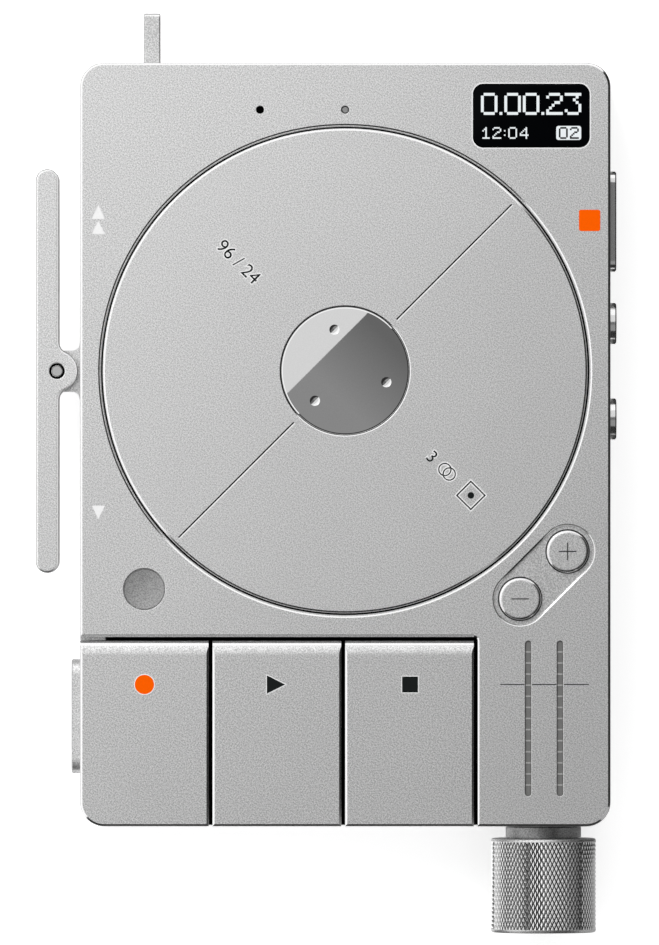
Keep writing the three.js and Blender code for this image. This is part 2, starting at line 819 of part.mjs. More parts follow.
function bearing() {
  return turnedZ([
    [shaftRadius + clearance, tubeZ + bearingLip + clearance],
    [bearingRadius, tubeZ + bearingLip + clearance],
    [bearingRadius, pocketZ - clearance],
    [shaftRadius + clearance, pocketZ - clearance],
  ], 0, 0, smallSides);
}

addPart('reel_bearing', bearing(), steel);

function rotor() {
  const inner = rotorRadius - rotorWall;
  return turnedZ([
    [shaftRadius + clearance, rotorZ],
    [rotorRadius, rotorZ],
    [rotorRadius, rotorTopZ],
    [inner, rotorTopZ],
    [inner, rotorZ + rotorPlate],
    [shaftRadius + rotorCollar, rotorZ + rotorPlate],
    [shaftRadius + rotorCollar, statorZ],
    [shaftRadius + clearance, statorZ],
  ], 0, 0, mediumSides);
}

addPart('motor_rotor', rotor(), steel);

function stator() {
  const outer = rotorRadius - rotorWall - clearance;
  const yoke = tubeRadius + clearance + statorYoke;
  const ring = turnedZ([
    [tubeRadius + clearance, statorZ],
    [outer, statorZ],
    [outer, statorTopZ],
    [tubeRadius + clearance, statorTopZ],
  ], 0, 0, mediumSides);
  const slots = Array.from({ length: statorSlots }, (_, i) => {
    const slot = box(yoke, outer + overrun, -statorSlotWidth / 2, statorSlotWidth / 2,
      statorZ - overrun, statorTopZ + overrun);
    return slot.rotate([0, 0, i * fullTurnDegrees / statorSlots]);
  });
  return cut(ring, ...slots);
}

addPart('motor_stator', stator(), copper);

// Display, microphone, status light and speaker

const windowTopZ = faceZ - windowSink;
addPart('display_window', slab(windowShape(slideGap), windowTopZ - windowThickness, windowTopZ), blackGlass);
addPart('display_module', box(windowLeft + slideGap, windowRight + moduleMargin,
  windowBottom + slideGap, windowTop + moduleMargin,
  plateZ - clearance - moduleThickness, plateZ - clearance), blackPlastic);

addPart('microphone', box(-microphoneOffset - microphoneLength / 2, -microphoneOffset + microphoneLength / 2,
  faceHoleY - microphoneWidth / 2, faceHoleY + microphoneWidth / 2,
  plateZ - clearance - microphoneHeight, plateZ - clearance), gold);
addPart('status_light', rodZ(0, faceHoleY, lightPipeRadius, boardTopZ + clearance,
  faceZ - windowSink, tinySides), smokedPlastic);

function speakerCover() {
  const radius = speakerHoleRadius - slideGap;
  const under = faceZ - speakerCoverThickness;
  return turnedZ([
    [0, under],
    [radius, under],
    [radius, faceZ - slideGap],
    [radius / 2, faceZ - slideGap - speakerDish * crownShoulderShare],
    [0, faceZ - slideGap - speakerDish],
  ], speakerX, speakerY, smallSides);
}

function speaker() {
  const top = plateZ - clearance;
  return turnedZ([
    [0, top - speakerFrameHeight - magnetHeight],
    [magnetRadius, top - speakerFrameHeight - magnetHeight],
    [magnetRadius, top - speakerFrameHeight],
    [speakerRadius, top - speakerFrameHeight],
    [speakerRadius, top],
    [0, top],
  ], speakerX, speakerY, smallSides);
}

addPart('speaker_cover', speakerCover(), greyMesh);
addPart('speaker', speaker(), blackPlastic);

// Volume buttons, level meters and the board under them

function volumeButton(x, y) {
  const flangeTop = plateZ - clearance;
  const flangeUnder = flangeTop - volumeFlangeHeight;
  const top = faceZ + volumeProud;
  return turnedZ([
    [0, flangeUnder - volumeNubHeight],
    [volumeNub, flangeUnder - volumeNubHeight],
    [volumeNub, flangeUnder],
    [volumeRadius + volumeFlange, flangeUnder],
    [volumeRadius + volumeFlange, flangeTop],
    [volumeRadius, flangeTop],
    [volumeRadius, top - volumeEdge],
    [volumeRadius - volumeEdge, top],
    [0, top],
  ], x, y, mediumSides);
}

addPart('plus_button', volumeButton(...volume.plus), satinAluminium);
addPart('minus_button', volumeButton(...volume.minus), satinAluminium);

function meterBar(x) {
  const half = meterRadius - meterBarGap;
  const top = faceZ - meterSink;
  const footTop = plateZ - clearance;
  const blade = slab(pillShape(x, meterBottom + meterRadius, x, meterTop - meterRadius, half),
    footTop - meterFootHeight / 2, top, slotSegments);
  const foot = box(x - meterFootWidth / 2, x + meterFootWidth / 2,
    meterBottom + clearance, meterTop - clearance, footTop - meterFootHeight, footTop);
  const pitch = (meterTop - meterBottom) / meterSegments;
  const notches = Array.from({ length: meterSegments - 1 }, (_, i) => {
    const y = meterBottom + pitch * (i + 1);
    return box(x - meterSlotWidth, x + meterSlotWidth, y - meterNotchWidth / 2, y + meterNotchWidth / 2,
      top - meterNotchDepth, top + overrun);
  });
  return cut(join(blade, foot), ...notches);
}

meterPlaces.forEach((x, i) => addPart(['left_meter', 'right_meter'][i], meterBar(x), smokedPlastic));

function controlBoard() {
  const under = controlBoardTopZ - controlBoardThickness;
  const pad = volumeRadius + volumeFlange + clearance;
  const half = controlWidth / 2 - bayWall - sideWall;
  const lowest = socketMouth + socketBossLength + clearance;
  const strip = box(outputX - half, outputX + half, lowest, volume.minus[1], under, controlBoardTopZ);
  const pill = slab(pillShape(...volume.minus, ...volume.plus, pad), under, controlBoardTopZ, pillSegments);
  const domes = [volume.plus, volume.minus].map(([x, y]) =>
    rodZ(x, y, domeRadius, under + controlBoardThickness / 2, controlBoardTopZ + domeHeight, smallSides,
      domeRadius / 2));
  return join(strip, pill, ...domes);
}

addPart('control_board', controlBoard(), circuitBoard);

// Transport keys

function keyBlank(x0, x1) {
  const side = new THREE.Shape();
  side.moveTo(caseBottom - overrun, keyUnderZ);
  side.lineTo(keyEdge, keyUnderZ);
  side.absarc(keyEdge - keyBrow, faceZ - keyBrow, keyBrow, 0, Math.PI / 2);
  side.lineTo(caseBottom - overrun, faceZ);
  side.closePath();
  const front = polygonShape([
    [keyUnderZ, x0],
    [faceZ - keyEdgeChamfer, x0],
    [faceZ, x0 + keyEdgeChamfer],
    [faceZ, x1 - keyEdgeChamfer],
    [faceZ - keyEdgeChamfer, x1],
    [keyUnderZ, x1],
  ]);
  return slabX(side, x0, x1, browSegments)
    .intersect(slabY(front, caseBottom - overrun, keyEdge + overrun))
    .intersect(caseBlank(keyUnderZ, faceZ));
}

function transportKey(x) {
  const x0 = x - keyWidth / 2;
  const x1 = x + keyWidth / 2;
  const ceiling = faceZ - keyTop;
  const hollow = slab(roundedShape(x0 + keyWall, x1 - keyWall, caseBottom + keyWall, keyEdge - keyWall,
    cornerRadius - keyWall), keyUnderZ - overrun, ceiling);
  const webs = [-axleWebOffset, axleWebOffset].map((offset) =>
    box(x + offset - axleWebWidth / 2, x + offset + axleWebWidth / 2,
      axleY - axleWebReach, keyEdge - keyWall / 2, keyUnderZ, ceiling + keyTop / 2));
  const press = rodZ(x, keySwitchY, keyPressRadius, keySwitchTopZ + keyPressGap,
    ceiling + keyTop / 2, tinySides);
  const bore = rodX(axleY, axleZ, axleBore, axleStart - clearance, axleEnd + clearance, tinySides);
  return cut(join(cut(keyBlank(x0, x1), hollow), ...webs, press), bore);
}

const keyNames = ['record_key', 'play_key', 'stop_key'];
keyPlaces.forEach((x, i) => addPart(keyNames[i], transportKey(x), satinAluminium));
addPart('key_axle', rodX(axleY, axleZ, axleRadius, axleStart, axleEnd, tinySides), steel);

function keyBoard() {
  const boardTop = keyBoardZ + controlBoardThickness;
  const half = keyBoardDepth / 2;
  const board = box(axleStart, axleEnd, keySwitchY - half, keySwitchY + half, keyBoardZ, boardTop);
  const switches = keyPlaces.flatMap((x) => [
    box(x - keySwitchSize / 2, x + keySwitchSize / 2, keySwitchY - keySwitchSize / 2,
      keySwitchY + keySwitchSize / 2, keyBoardZ, boardTop + keySwitchHeight),
    rodZ(x, keySwitchY, keyPlungerRadius, boardTop, keySwitchTopZ, tinySides),
  ]);
  return join(board, ...switches);
}

addPart('key_board', keyBoard(), circuitBoard);

// A sheet-metal comb: one sprung finger rises under each key.
function keySpring() {
  const front = axleY - axlePostHalf - springStandoff;
  const bend = front - springStrip;
  const tip = bend - springFingerReach;
  const drop = (axleY - tip) * Math.sin(radians(keyPressDegrees));
  const tipZ = faceZ - keyTop - drop - clearance;
  const strip = box(axleStart, axleEnd, bend, front, keyBoardZ, keyBoardZ + springSheet);
  const profile = polygonShape([
    [front, keyBoardZ],
    [front, keyBoardZ + springSheet],
    [bend, keyBoardZ + springSheet],
    [tip, tipZ],
    [tip, tipZ - springSheet],
    [bend, keyBoardZ],
  ]);
  const fingers = keyPlaces.map((x) => slabX(profile, x + springFingerOffset - springFingerWidth / 2,
    x + springFingerOffset + springFingerWidth / 2));
  return join(strip, ...fingers);
}

addPart('key_spring', keySpring(), steel);

// Rocker lever

const leverRight = caseLeft - leverGap;
const leverZ0 = portZ - leverThickness / 2;
const leverZ1 = portZ + leverThickness / 2;
const footX = caseLeft + sideWall + clearance;

function leverShape() {
  const radius = leverWidth / 2;
  const middle = leverRight - radius;
  const end = leverLength / 2 - radius;
  const filletX = leverRight + leverFillet;
  const filletY = Math.sqrt((leverEarRadius + leverFillet) ** 2 - (filletX - pivotX) ** 2);
  const turn = Math.atan2(filletY, filletX - pivotX);
  const shape = new THREE.Shape();
  shape.absarc(middle, -end, radius, Math.PI, 0);
  shape.absarc(filletX, -filletY, leverFillet, Math.PI, Math.PI - turn, true);
  shape.absarc(pivotX, 0, leverEarRadius, -turn, turn);
  shape.absarc(filletX, filletY, leverFillet, Math.PI + turn, Math.PI, true);
  shape.absarc(middle, end, radius, 0, Math.PI);
  shape.closePath();
  return shape;
}

function rockerLever() {
  const blank = solidOf(chamferedGeometry(leverShape(), leverZ0, leverZ1, leverChamfer, slotSegments));
  const slotZ0 = portZ - tongueThickness / 2 - clearance;
  const slotZ1 = coilZ + coilThickness + clearance;
  const slotRadius = tongueEndRadius + clearance;
  const slot = join(
    rodZ(pivotX, 0, slotRadius, slotZ0, slotZ1, smallSides),
    box(pivotX, leverRight + overrun, -slotRadius, slotRadius, slotZ0, slotZ1),
    box(leverRight, caseLeft, -footHalf, footHalf, slotZ0, slotZ1),
  );
  const bore = rodZ(pivotX, 0, pivotPinRadius + clearance, leverZ0 - overrun, leverZ1 + overrun, smallSides);
  return cut(blank, slot, bore);
}

function rockerBracket() {
  const wallX = caseLeft - slideGap;
  const flareX = wallX - stemFlare;
  const shoulder = leverRight + clearance + slideGap;
  const outline = new THREE.Shape();
  outline.moveTo(wallX, -stemHalf - stemFlare);
  outline.lineTo(wallX, stemHalf + stemFlare);
  outline.absarc(flareX, stemHalf + stemFlare, stemFlare, 0, -Math.PI / 2, true);
  outline.lineTo(shoulder, stemHalf);
  outline.lineTo(shoulder, tongueEndRadius);
  outline.absarc(pivotX, 0, tongueEndRadius, Math.PI / 2, -Math.PI / 2);
  outline.lineTo(shoulder, -tongueEndRadius);
  outline.lineTo(shoulder, -stemHalf);
  outline.absarc(flareX, -stemHalf - stemFlare, stemFlare, Math.PI / 2, 0, true);
  outline.closePath();
  const z0 = portZ - tongueThickness / 2;
  const z1 = portZ + tongueThickness / 2;
  const tongue = slab(outline, z0, z1, pillSegments);
  const neck = box(wallX - stemFlare / 2, footX + footThickness / 2, -stemHalf, stemHalf, z0, z1);
  const foot = box(footX, footX + footThickness, -footHalf, footHalf, z0 - footMargin, z1 + footMargin);
  const bore = rodZ(pivotX, 0, pivotPinRadius + clearance, z0 - overrun, z1 + overrun, smallSides);
  return cut(join(tongue, neck, foot), bore);
}

function pivotPin() {
  const z1 = leverZ1 - pivotPinSink;
  const pin = rodZ(pivotX, 0, pivotPinRadius, leverZ0 + pivotPinSink, z1, smallSides);
  const dimple = rodZ(pivotX, 0, pivotDimple / 2, z1 - pivotDimple, z1 + pivotDimple, tinySides,
    pivotDimple * dimpleMouthShare);
  return cut(pin, dimple);
}

// The wound spring that brings the lever back lies flat round the pin, its two legs towards the case.
function rockerSpring() {
  const inner = pivotPinRadius + clearance;
  const outer = inner + coilWidth;
  const z1 = coilZ + coilThickness;
  const ring = turnedZ([[inner, coilZ], [outer, coilZ], [outer, z1], [inner, z1]], pivotX, 0, smallSides);
  const legs = [-coilLegOffset, coilLegOffset].map((y) =>
    box(pivotX + inner, leverRight + leverFillet, y - coilWidth / 2, y + coilWidth / 2, coilZ, z1));
  const bore = rodZ(pivotX, 0, inner, coilZ - overrun, z1 + overrun, smallSides);
  return cut(join(ring, ...legs), bore);
}

addPart('rocker_lever', rockerLever(), satinAluminium);
addPart('rocker_bracket', rockerBracket(), satinAluminium);
addPart('rocker_pivot', pivotPin(), steel);
addPart('rocker_spring', rockerSpring(), steel);

const sensorX = footX + footThickness + clearance;
addPart('rocker_sensor', box(sensorX, sensorX + sensorThickness, -sensorHalf, sensorHalf,
  boardTopZ + clearance, portZ + tongueThickness / 2 + footMargin), circuitBoard);

// Side buttons: a cap through the wall, a flange inside it and a switch behind

function sideButton(shape, flange, x0, x1) {
  const cap = solidOf(chamferedGeometry(shape, x0, x1, sideEdge, slotSegments).applyMatrix4(alongX));
  return join(cap, flange);
}

function pillButton(y, z, length, radius, flangeRadius) {
  const reach = length / 2 - radius;
  const shape = pillShape(y - reach, z, y + reach, z, radius);
  const flangeShape = pillShape(y - reach, z, y + reach, z, flangeRadius);
  const flange = slabX(flangeShape, sideFlangeX, sideFlangeX + sideFlangeThickness, slotSegments);
  return { shape, flange };
}

function memoButton() {
  const { shape, flange } = pillButton(memoCentre, portZ, memoLength, memoRadius, memoRadius + sideFlange);
  return sideButton(shape, flange, sideFlangeX, caseRight + sideProud);
}

function roundButton(y) {
  const cap = rodX(y, portZ, roundButtonRadius, sideFlangeX, caseRight + sideProud - sideEdge, smallSides);
  const edge = rodX(y, portZ, roundButtonRadius, caseRight + sideProud - sideEdge, caseRight + sideProud,
    smallSides, roundButtonRadius - sideEdge);
  const flange = rodX(y, portZ, roundButtonRadius + sideFlange, sideFlangeX, sideFlangeX + sideFlangeThickness,
    smallSides);
  return join(cap, edge, flange);
}

function leftButton() {
  const flangeRadius = (bayUnderZ - backPlate) / 2 - clearance;
  const { shape, flange } = pillButton(leftButtonY, leftButtonZ, leftButtonLength,
    leftButtonRadius, flangeRadius);
  return sideButton(shape, flange, sideFlangeX, caseRight + leftButtonProud).mirror([1, 0, 0]);
}

addPart('memo_button', memoButton(), satinAluminium);
addPart('upper_side_button', roundButton(roundButtonOffset), satinAluminium);
addPart('lower_side_button', roundButton(-roundButtonOffset), satinAluminium);
addPart('left_button', leftButton(), satinAluminium);

// A switch board standing behind the buttons of the right wall.
function switchBoard(y0, y1, z0, z1, places) {
  const face = sideFlangeX - sideTravel - clearance / 2;
  const boardFace = face - sideSwitchThickness;
  const board = box(boardFace - boardThickness, boardFace, y0, y1, z0, z1);
  const switches = places.map(([y, z]) => box(boardFace - boardThickness / 2, face,
    y - sideSwitchLength / 2, y + sideSwitchLength / 2, z - sideSwitchHeight / 2, z + sideSwitchHeight / 2));
  return join(board, ...switches);
}

const sidePlaces = [[memoCentre, portZ], [roundButtonOffset, portZ], [-roundButtonOffset, portZ]];
addPart('side_board', switchBoard(-roundButtonOffset - roundButtonRadius - sideBoardMargin,
  memoCentre + memoLength / 2 + sideBoardMargin, boardTopZ + clearance, pocketUnderZ - clearance,
  sidePlaces), circuitBoard);
addPart('left_board', switchBoard(leftButtonY - leftBoardHalf, leftButtonY + leftBoardHalf,
  backPlate + clearance, bayUnderZ - clearance, [[leftButtonY, leftButtonZ]]).mirror([1, 0, 0]), circuitBoard);

// Power lever

function powerLever() {
  const tip = caseTop + powerProud;
  const tail = powerPivotY - powerTail;
  const outline = new THREE.Shape();
  outline.moveTo(portZ - powerDepth / 2, tail);
  outline.lineTo(portZ + powerDepth / 2, tail);
  outline.absarc(portZ + powerDepth / 2 - powerCorner, tip - powerCorner, powerCorner, 0, Math.PI / 2);
  outline.absarc(portZ - powerDepth / 2 + powerCorner, tip - powerCorner, powerCorner, Math.PI / 2, Math.PI);
  outline.closePath();
  const profile = slabGeometry(outline, powerX - powerWidth / 2, powerX + powerWidth / 2);
  const toX = new THREE.Matrix4().makeBasis(
    new THREE.Vector3(0, 0, -1), new THREE.Vector3(0, 1, 0), new THREE.Vector3(1, 0, 0));
  profile.applyMatrix4(toX).translate(0, 0, caseDepth);
  return solidOf(profile);
}

function powerSwitch() {
  const back = powerPivotY - powerBodyLength / 2;
  const front = caseTop - sideWall - clearance;
  const lean = (front - powerPivotY) * Math.tan(radians(powerTiltDegrees));
  const slotHalf = powerDepth / 2 + lean + clearance;
  const slotX = powerWidth / 2 + clearance;
  const body = box(powerX - powerBodyHalf, powerX + powerBodyHalf, back, front,
    boardTopZ + clearance, boardTopZ + clearance + powerBodyHeight);
  const slot = box(powerX - slotX, powerX + slotX, powerPivotY - powerTail - powerTailGap, front + overrun,
    portZ - slotHalf, portZ + slotHalf);
  return cut(body, slot);
}

addPart('power_lever', powerLever(), satinAluminium);
addPart('power_switch', powerSwitch(), blackPlastic);

// Sockets in the top edge

function jack(x) {
  const front = caseTop - sideWall - clearance;
  const body = box(x - jackWidth / 2, x + jackWidth / 2, front - jackLength, front,
    portZ - jackHeight / 2, portZ + jackHeight / 2);
  const nose = rodY(x, portZ, jackNoseRadius, front - clearance, caseTop - slideGap, smallSides);
  const bore = rodY(x, portZ, jackBoreRadius, caseTop - jackBoreDepth, caseTop + overrun, smallSides);
  return cut(join(body, nose), bore);
}

jackPlaces.forEach((x, i) => addPart(`jack_${i + 1}`, jack(x), blackPlastic));

function dataSocket() {
  const front = caseTop - slideGap;
  const back = front - dataLength;
  const outline = (skin) => {
    const radius = dataHeight / 2 - skin;
    const half = dataWidth / 2 - dataHeight / 2;
    return pillShape(portZ, dataX - half, portZ, dataX + half, radius);
  };
  const shell = slabY(outline(0), back, front, slotSegments);
  const mouth = slabY(outline(dataSkin), back + dataFloor, front + overrun, slotSegments);
  const tongue = box(dataX - dataTongueWidth / 2, dataX + dataTongueWidth / 2, back + dataFloor / 2,
    front - dataFloor / 2, portZ - dataTongueHeight / 2, portZ + dataTongueHeight / 2);
  return join(cut(shell, mouth), tongue);
}

addPart('data_socket', dataSocket(), steel);

// Main board and battery

function mainBoard() {
  const top = caseTop - sideWall - boardEndGap;
  const board = box(-boardHalf, boardHalf, boardBottom, top, boardZ, boardTopZ);
  const notches = postPlaces.map(([x, y]) => rodZ(x, y, postRadius + clearance, boardZ - overrun,
    boardTopZ + overrun, smallSides));
  const chips = chipSizes.map((size, i) => {
    const x = boardHalf * chipAcrossShares[i];
    const y = reelHoleRadius * chipUpShares[i];
    return box(x - size / 2, x + size / 2, y - size / 2, y + size / 2,
      boardZ + boardThickness / 2, boardTopZ + chipHeight);
  });
  const underSocket = box(dataX - dataTongueWidth / 2, dataX + dataTongueWidth / 2, top - dataLength, top,
    boardTopZ - boardThickness / 2, portZ - dataHeight / 2 - clearance);
  return join(cut(board, ...notches), ...chips, underSocket);
}

addPart('main_board', mainBoard(), circuitBoard);
addPart('battery', slab(roundedShape(caseLeft + sideWall + batterySideGap, bayRight - batteryEndGap,
  caseBottom + sideWall + batteryEndGap, boardBottom - batteryEndGap, backPlate), backPlate + clearance,
  bayUnderZ - clearance), foil);

// Output socket and adapter

function outputSocket() {
  const mouth = socketMouth + clearance;
  const end = caseBottom + plugLength + clearance;
  return turnedY([
    [plugRadius + clearance, mouth],
    [socketRadius, mouth],
    [socketRadius, end + socketBack],
    [0, end + socketBack],
    [0, end],
    [plugRadius + clearance, end],
  ], outputX, portZ, smallSides);
}

addPart('output_socket', outputSocket(), blackPlastic);

const coreRadius = shellRadius - shellWall - clearance;
const coreEnd = shellBottom + shellEnd + clearance;

function adapterPlug() {
  const tip = caseBottom + plugLength;
  const waist = tip - plugTipLength;
  const neckTop = caseBottom - slideGap;
  const neckEnd = shellTop + slideGap;
  const floor = plugRadius - plugRingDepth;
  const rings = Array.from({ length: plugRingCount }, (_, i) => {
    const y = waist - plugRingSpacing * (i + 1);
    return [[plugRadius, y], [floor, y], [floor, y - plugRingWidth], [plugRadius, y - plugRingWidth]];
  }).flat();
  return turnedY([
    [0, tip],
    [plugNeckRadius / 2, tip],
    [plugTipRadius, tip - plugTipLength / 2],
    [plugNeckRadius, waist],
    [plugRadius, waist - plugRingWidth],
    ...rings,
    [plugRadius, neckTop],
    [neckRadius, neckTop],
    [neckRadius, neckEnd],
    [coreRadius, neckEnd],
    [coreRadius, coreEnd],
    [shellMouth, coreEnd],
    [shellMouth, neckEnd - neckLength],
    [0, neckEnd - neckLength],
  ], outputX, portZ, smallSides);
}

addPart('adapter_plug', adapterPlug(), steel);

function adapterJack() {
  const inner = shellTop - neckLength - clearance;
  return turnedY([
    [0, inner],
    [adapterJackRadius, inner],
    [adapterJackRadius, shellBottom + clearance],
    [adapterBoreRadius, shellBottom + clearance],
    [adapterBoreRadius, inner - adapterBoreRadius],
    [0, inner - adapterBoreRadius],
  ], outputX, portZ, smallSides);
}

addPart('adapter_jack', adapterJack(), blackPlastic);

// A bar whose surface is a net of pyramids: rings of points, raised and sunk in turn.
function knurledBar(radius, y0, y1) {
  const columns = Math.round(Math.PI * radius * 2 / knurlPitch) * 2;
  const rows = Math.round((y1 - y0) / knurlRowPitch) * 2;
  const positions = [];
  const triangles = [];
  for (let row = 0; row <= rows; row += 1) {
    const y = y0 + (y1 - y0) * row / rows;
    for (let column = 0; column < columns; column += 1) {
      const angle = Math.PI * 2 * column / columns;
      const raised = (row + column) % 2 === 0 && row > 0 && row < rows;
      const r = raised ? radius : radius - knurlDepth;
      positions.push(outputX + r * Math.sin(angle), y, portZ + r * Math.cos(angle));
    }
  }
  const at = (row, column) => row * columns + column % columns;
  for (let row = 0; row < rows; row += 1) {
    for (let column = 0; column < columns; column += 1) {
      const [a, b] = [at(row, column), at(row, column + 1)];
      const [c, d] = [at(row + 1, column + 1), at(row + 1, column)];
      const split = (row + column) % 2 === 0 ? [a, b, d, b, c, d] : [a, b, c, a, c, d];
      triangles.push(...split);
    }
  }
  const ends = [[0, y0, true], [rows, y1, false]];
  for (const [row, y, facingDown] of ends) {
    const centre = positions.length / 3;
    positions.push(outputX, y, portZ);
    for (let column = 0; column < columns; column += 1) {
      const [a, b] = [at(row, column), at(row, column + 1)];
      triangles.push(...(facingDown ? [centre, b, a] : [centre, a, b]));
    }
  }
  const geometry = new THREE.BufferGeometry();
  geometry.setAttribute('position', new THREE.Float32BufferAttribute(positions, 3));
  geometry.setIndex(triangles);
  return solidOf(geometry);
}

function adapterShell() {
  const collar = shellRadius - knurlDepth;
  const collars = [[shellBottom, 1], [shellTop, -1]].map(([end, inward]) => turnedY([
    [0, end],
    [collar - shellChamfer, end],
    [collar, end + shellChamfer * inward],
    [collar, end + (shellChamfer + knurlMargin) * inward],
    [0, end + (shellChamfer + knurlMargin) * inward],
  ], outputX, portZ, mediumSides));
  const bar = knurledBar(shellRadius, shellBottom + shellChamfer, shellTop - shellChamfer);
  const cavity = rodY(outputX, portZ, shellRadius - shellWall, shellBottom + shellEnd, shellTop + overrun,
    mediumSides);
  const mouth = rodY(outputX, portZ, shellMouth, shellBottom - overrun, shellTop, mediumSides);
  return cut(join(bar, ...collars), cavity, mouth);
}

addPart('adapter_shell', adapterShell(), satinAluminium);

export default part;
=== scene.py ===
import math
import bmesh
import bpy
from mathutils import Matrix, Vector


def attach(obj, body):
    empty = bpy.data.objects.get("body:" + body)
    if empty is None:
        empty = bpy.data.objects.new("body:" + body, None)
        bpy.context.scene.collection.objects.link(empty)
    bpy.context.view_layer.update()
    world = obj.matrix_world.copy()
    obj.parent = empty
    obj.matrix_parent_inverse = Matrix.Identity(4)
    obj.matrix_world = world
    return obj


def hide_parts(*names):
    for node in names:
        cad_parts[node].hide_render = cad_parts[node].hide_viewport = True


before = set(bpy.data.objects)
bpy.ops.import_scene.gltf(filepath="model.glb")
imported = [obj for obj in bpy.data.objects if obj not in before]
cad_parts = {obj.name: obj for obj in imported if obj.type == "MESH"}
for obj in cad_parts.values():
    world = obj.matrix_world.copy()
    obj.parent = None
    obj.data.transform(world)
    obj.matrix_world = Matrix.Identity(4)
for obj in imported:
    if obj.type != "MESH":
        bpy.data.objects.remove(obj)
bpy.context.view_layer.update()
print("frame loaded:", len(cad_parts), "nodes")

# Pieces are drawn in millimetres in the frame's own axes, and shrunk to metres when finished.
metre = 0.001
axes = {
    "X": lambda u, v, h: (h, u, v),
    "Y": lambda u, v, h: (v, h, u),
    "Z": lambda u, v, h: (u, v, h),
}

caseSize = dict(left=-34.0, right=34.0, bottom=-58.4, top=39.5, back=1.5, face=16.0,
                corner=3.1, edge=0.3, rim=((0.0, 0.45), (0.07, 0.2), (0.32, 0.0)), wall=1.6,
                plate=14.4)
reelSize = dict(hole=31.3, radius=31.07, under=13.4, floor=13.0, bore=1.3,
                hubSeat=14.6, hubHole=8.29, hubRim=0.12,
                rim=((0.0, 0.22), (0.08, 0.15), (0.17, 0.15), (0.36, 0.0)),
                lip=((0.0, 0.16), (0.08, 0.15), (0.28, 0.0)))
baySize = dict(right=17.0, top=-34.1, floor=7.8, under=6.6, corner=0.5, step=0.32, wall=1.2,
               keys=(-25.76, -8.76, 8.24), axle=(-38.22, 11.8), axleBore=1.05,
               post=(-39.92, -36.52, 7.2, 13.5), ledgeEnd=-30.8, ledge=(12.2, 14.2),
               gaps=(-17.52, -0.52, 16.48), gap=0.52)
bearingSize = dict(tube=4.5, bore=3.2, neck=1.6, low=7.6, seat=8.2, high=12.5, clear=14.0)
middle = 8.0  # half the case's thickness, where ports and side buttons sit
front = caseSize["face"]
inkSize = dict(thick=0.012, under=0.006)  # films of ink, and how much lower their white rims of painted highlight lie


def arcPoints(x, y, radius, start, end, steps):
    # Outlines are lists of points that turn left
    return [(x + radius * math.cos(math.radians(start + (end - start) * i / steps)),
             y + radius * math.sin(math.radians(start + (end - start) * i / steps)))
            for i in range(steps + 1)]


def circleOutline(x, y, radius, steps=64):
    return arcPoints(x, y, radius, 0, 360, steps)[:-1]


def roundedOutline(x0, x1, y0, y1, radius, steps=10):
    corners = [(x1 - radius, y0 + radius, -90), (x1 - radius, y1 - radius, 0),
               (x0 + radius, y1 - radius, 90), (x0 + radius, y0 + radius, 180)]
    return [p for x, y, a in corners for p in arcPoints(x, y, radius, a, a + 90, steps)]


def pillOutline(start, end, radius, steps=24):
    (ax, ay), (bx, by) = start, end
    along = math.degrees(math.atan2(by - ay, bx - ax))
    return (arcPoints(bx, by, radius, along - 90, along + 90, steps)
            + arcPoints(ax, ay, radius, along + 90, along + 270, steps))


def boxOutline(x0, x1, y0, y1):
    return [(x0, y0), (x1, y0), (x1, y1), (x0, y1)]


def linked(name, mesh):
    piece = bpy.data.objects.new(name, mesh)
    bpy.context.scene.collection.objects.link(piece)
    return piece


def meshOf(name, bm):
    bmesh.ops.recalc_face_normals(bm, faces=bm.faces)
    mesh = bpy.data.meshes.new(name)
    bm.to_mesh(mesh)
    bm.free()
    return linked(name, mesh)


def stackPiece(name, rings, axis="Z"):
    # A closed solid through outlines of equal length, each at its own height
    bm = bmesh.new()
    loops = [[bm.verts.new(axes[axis](u, v, height)) for u, v in outline]
             for outline, height in rings]
    count = len(loops[0])
    for lower, upper in zip(loops, loops[1:]):
        for i in range(count):
            j = (i + 1) % count
            bm.faces.new((lower[i], lower[j], upper[j], upper[i]))
    bm.faces.new(loops[0])
    bm.faces.new(loops[-1])
    return meshOf(name, bm)


def plainStack(name, outline, low, high, axis="Z"):
    return stackPiece(name, [(outline, low), (outline, high)], axis)


def boxPiece(name, x0, x1, y0, y1, z0, z1):
    return plainStack(name, boxOutline(x0, x1, y0, y1), z0, z1)


def rodPiece(name, x, y, radius, low, high, steps=64, axis="Z"):
    return plainStack(name, circleOutline(x, y, radius, steps), low, high, axis)


def roundEdge(high, size):
    # Levels of (inset, height) round a convex edge that ends at a flat face
    turns = [math.radians(22.5 * i) for i in range(5)]
    return [(size * (1 - math.cos(turn)), high - size * (1 - math.sin(turn))) for turn in turns]


def bevelEdge(high, size):
    # The same for a bevel, which falls a little less than it comes in
    return [(0, high - 0.75 * size), (size, high)]


def rimCutter(name, outlineAt, low, face, size, axis="Z", edge=roundEdge):
    # Cuts a hole whose rim at the face is rounded over or bevelled
    rings = [(outlineAt(0), low)]
    rings += [(outlineAt(-inset), height) for inset, height in edge(face, size)]
    rings.append((outlineAt(-size), face + 1))
    return stackPiece(name, rings, axis)


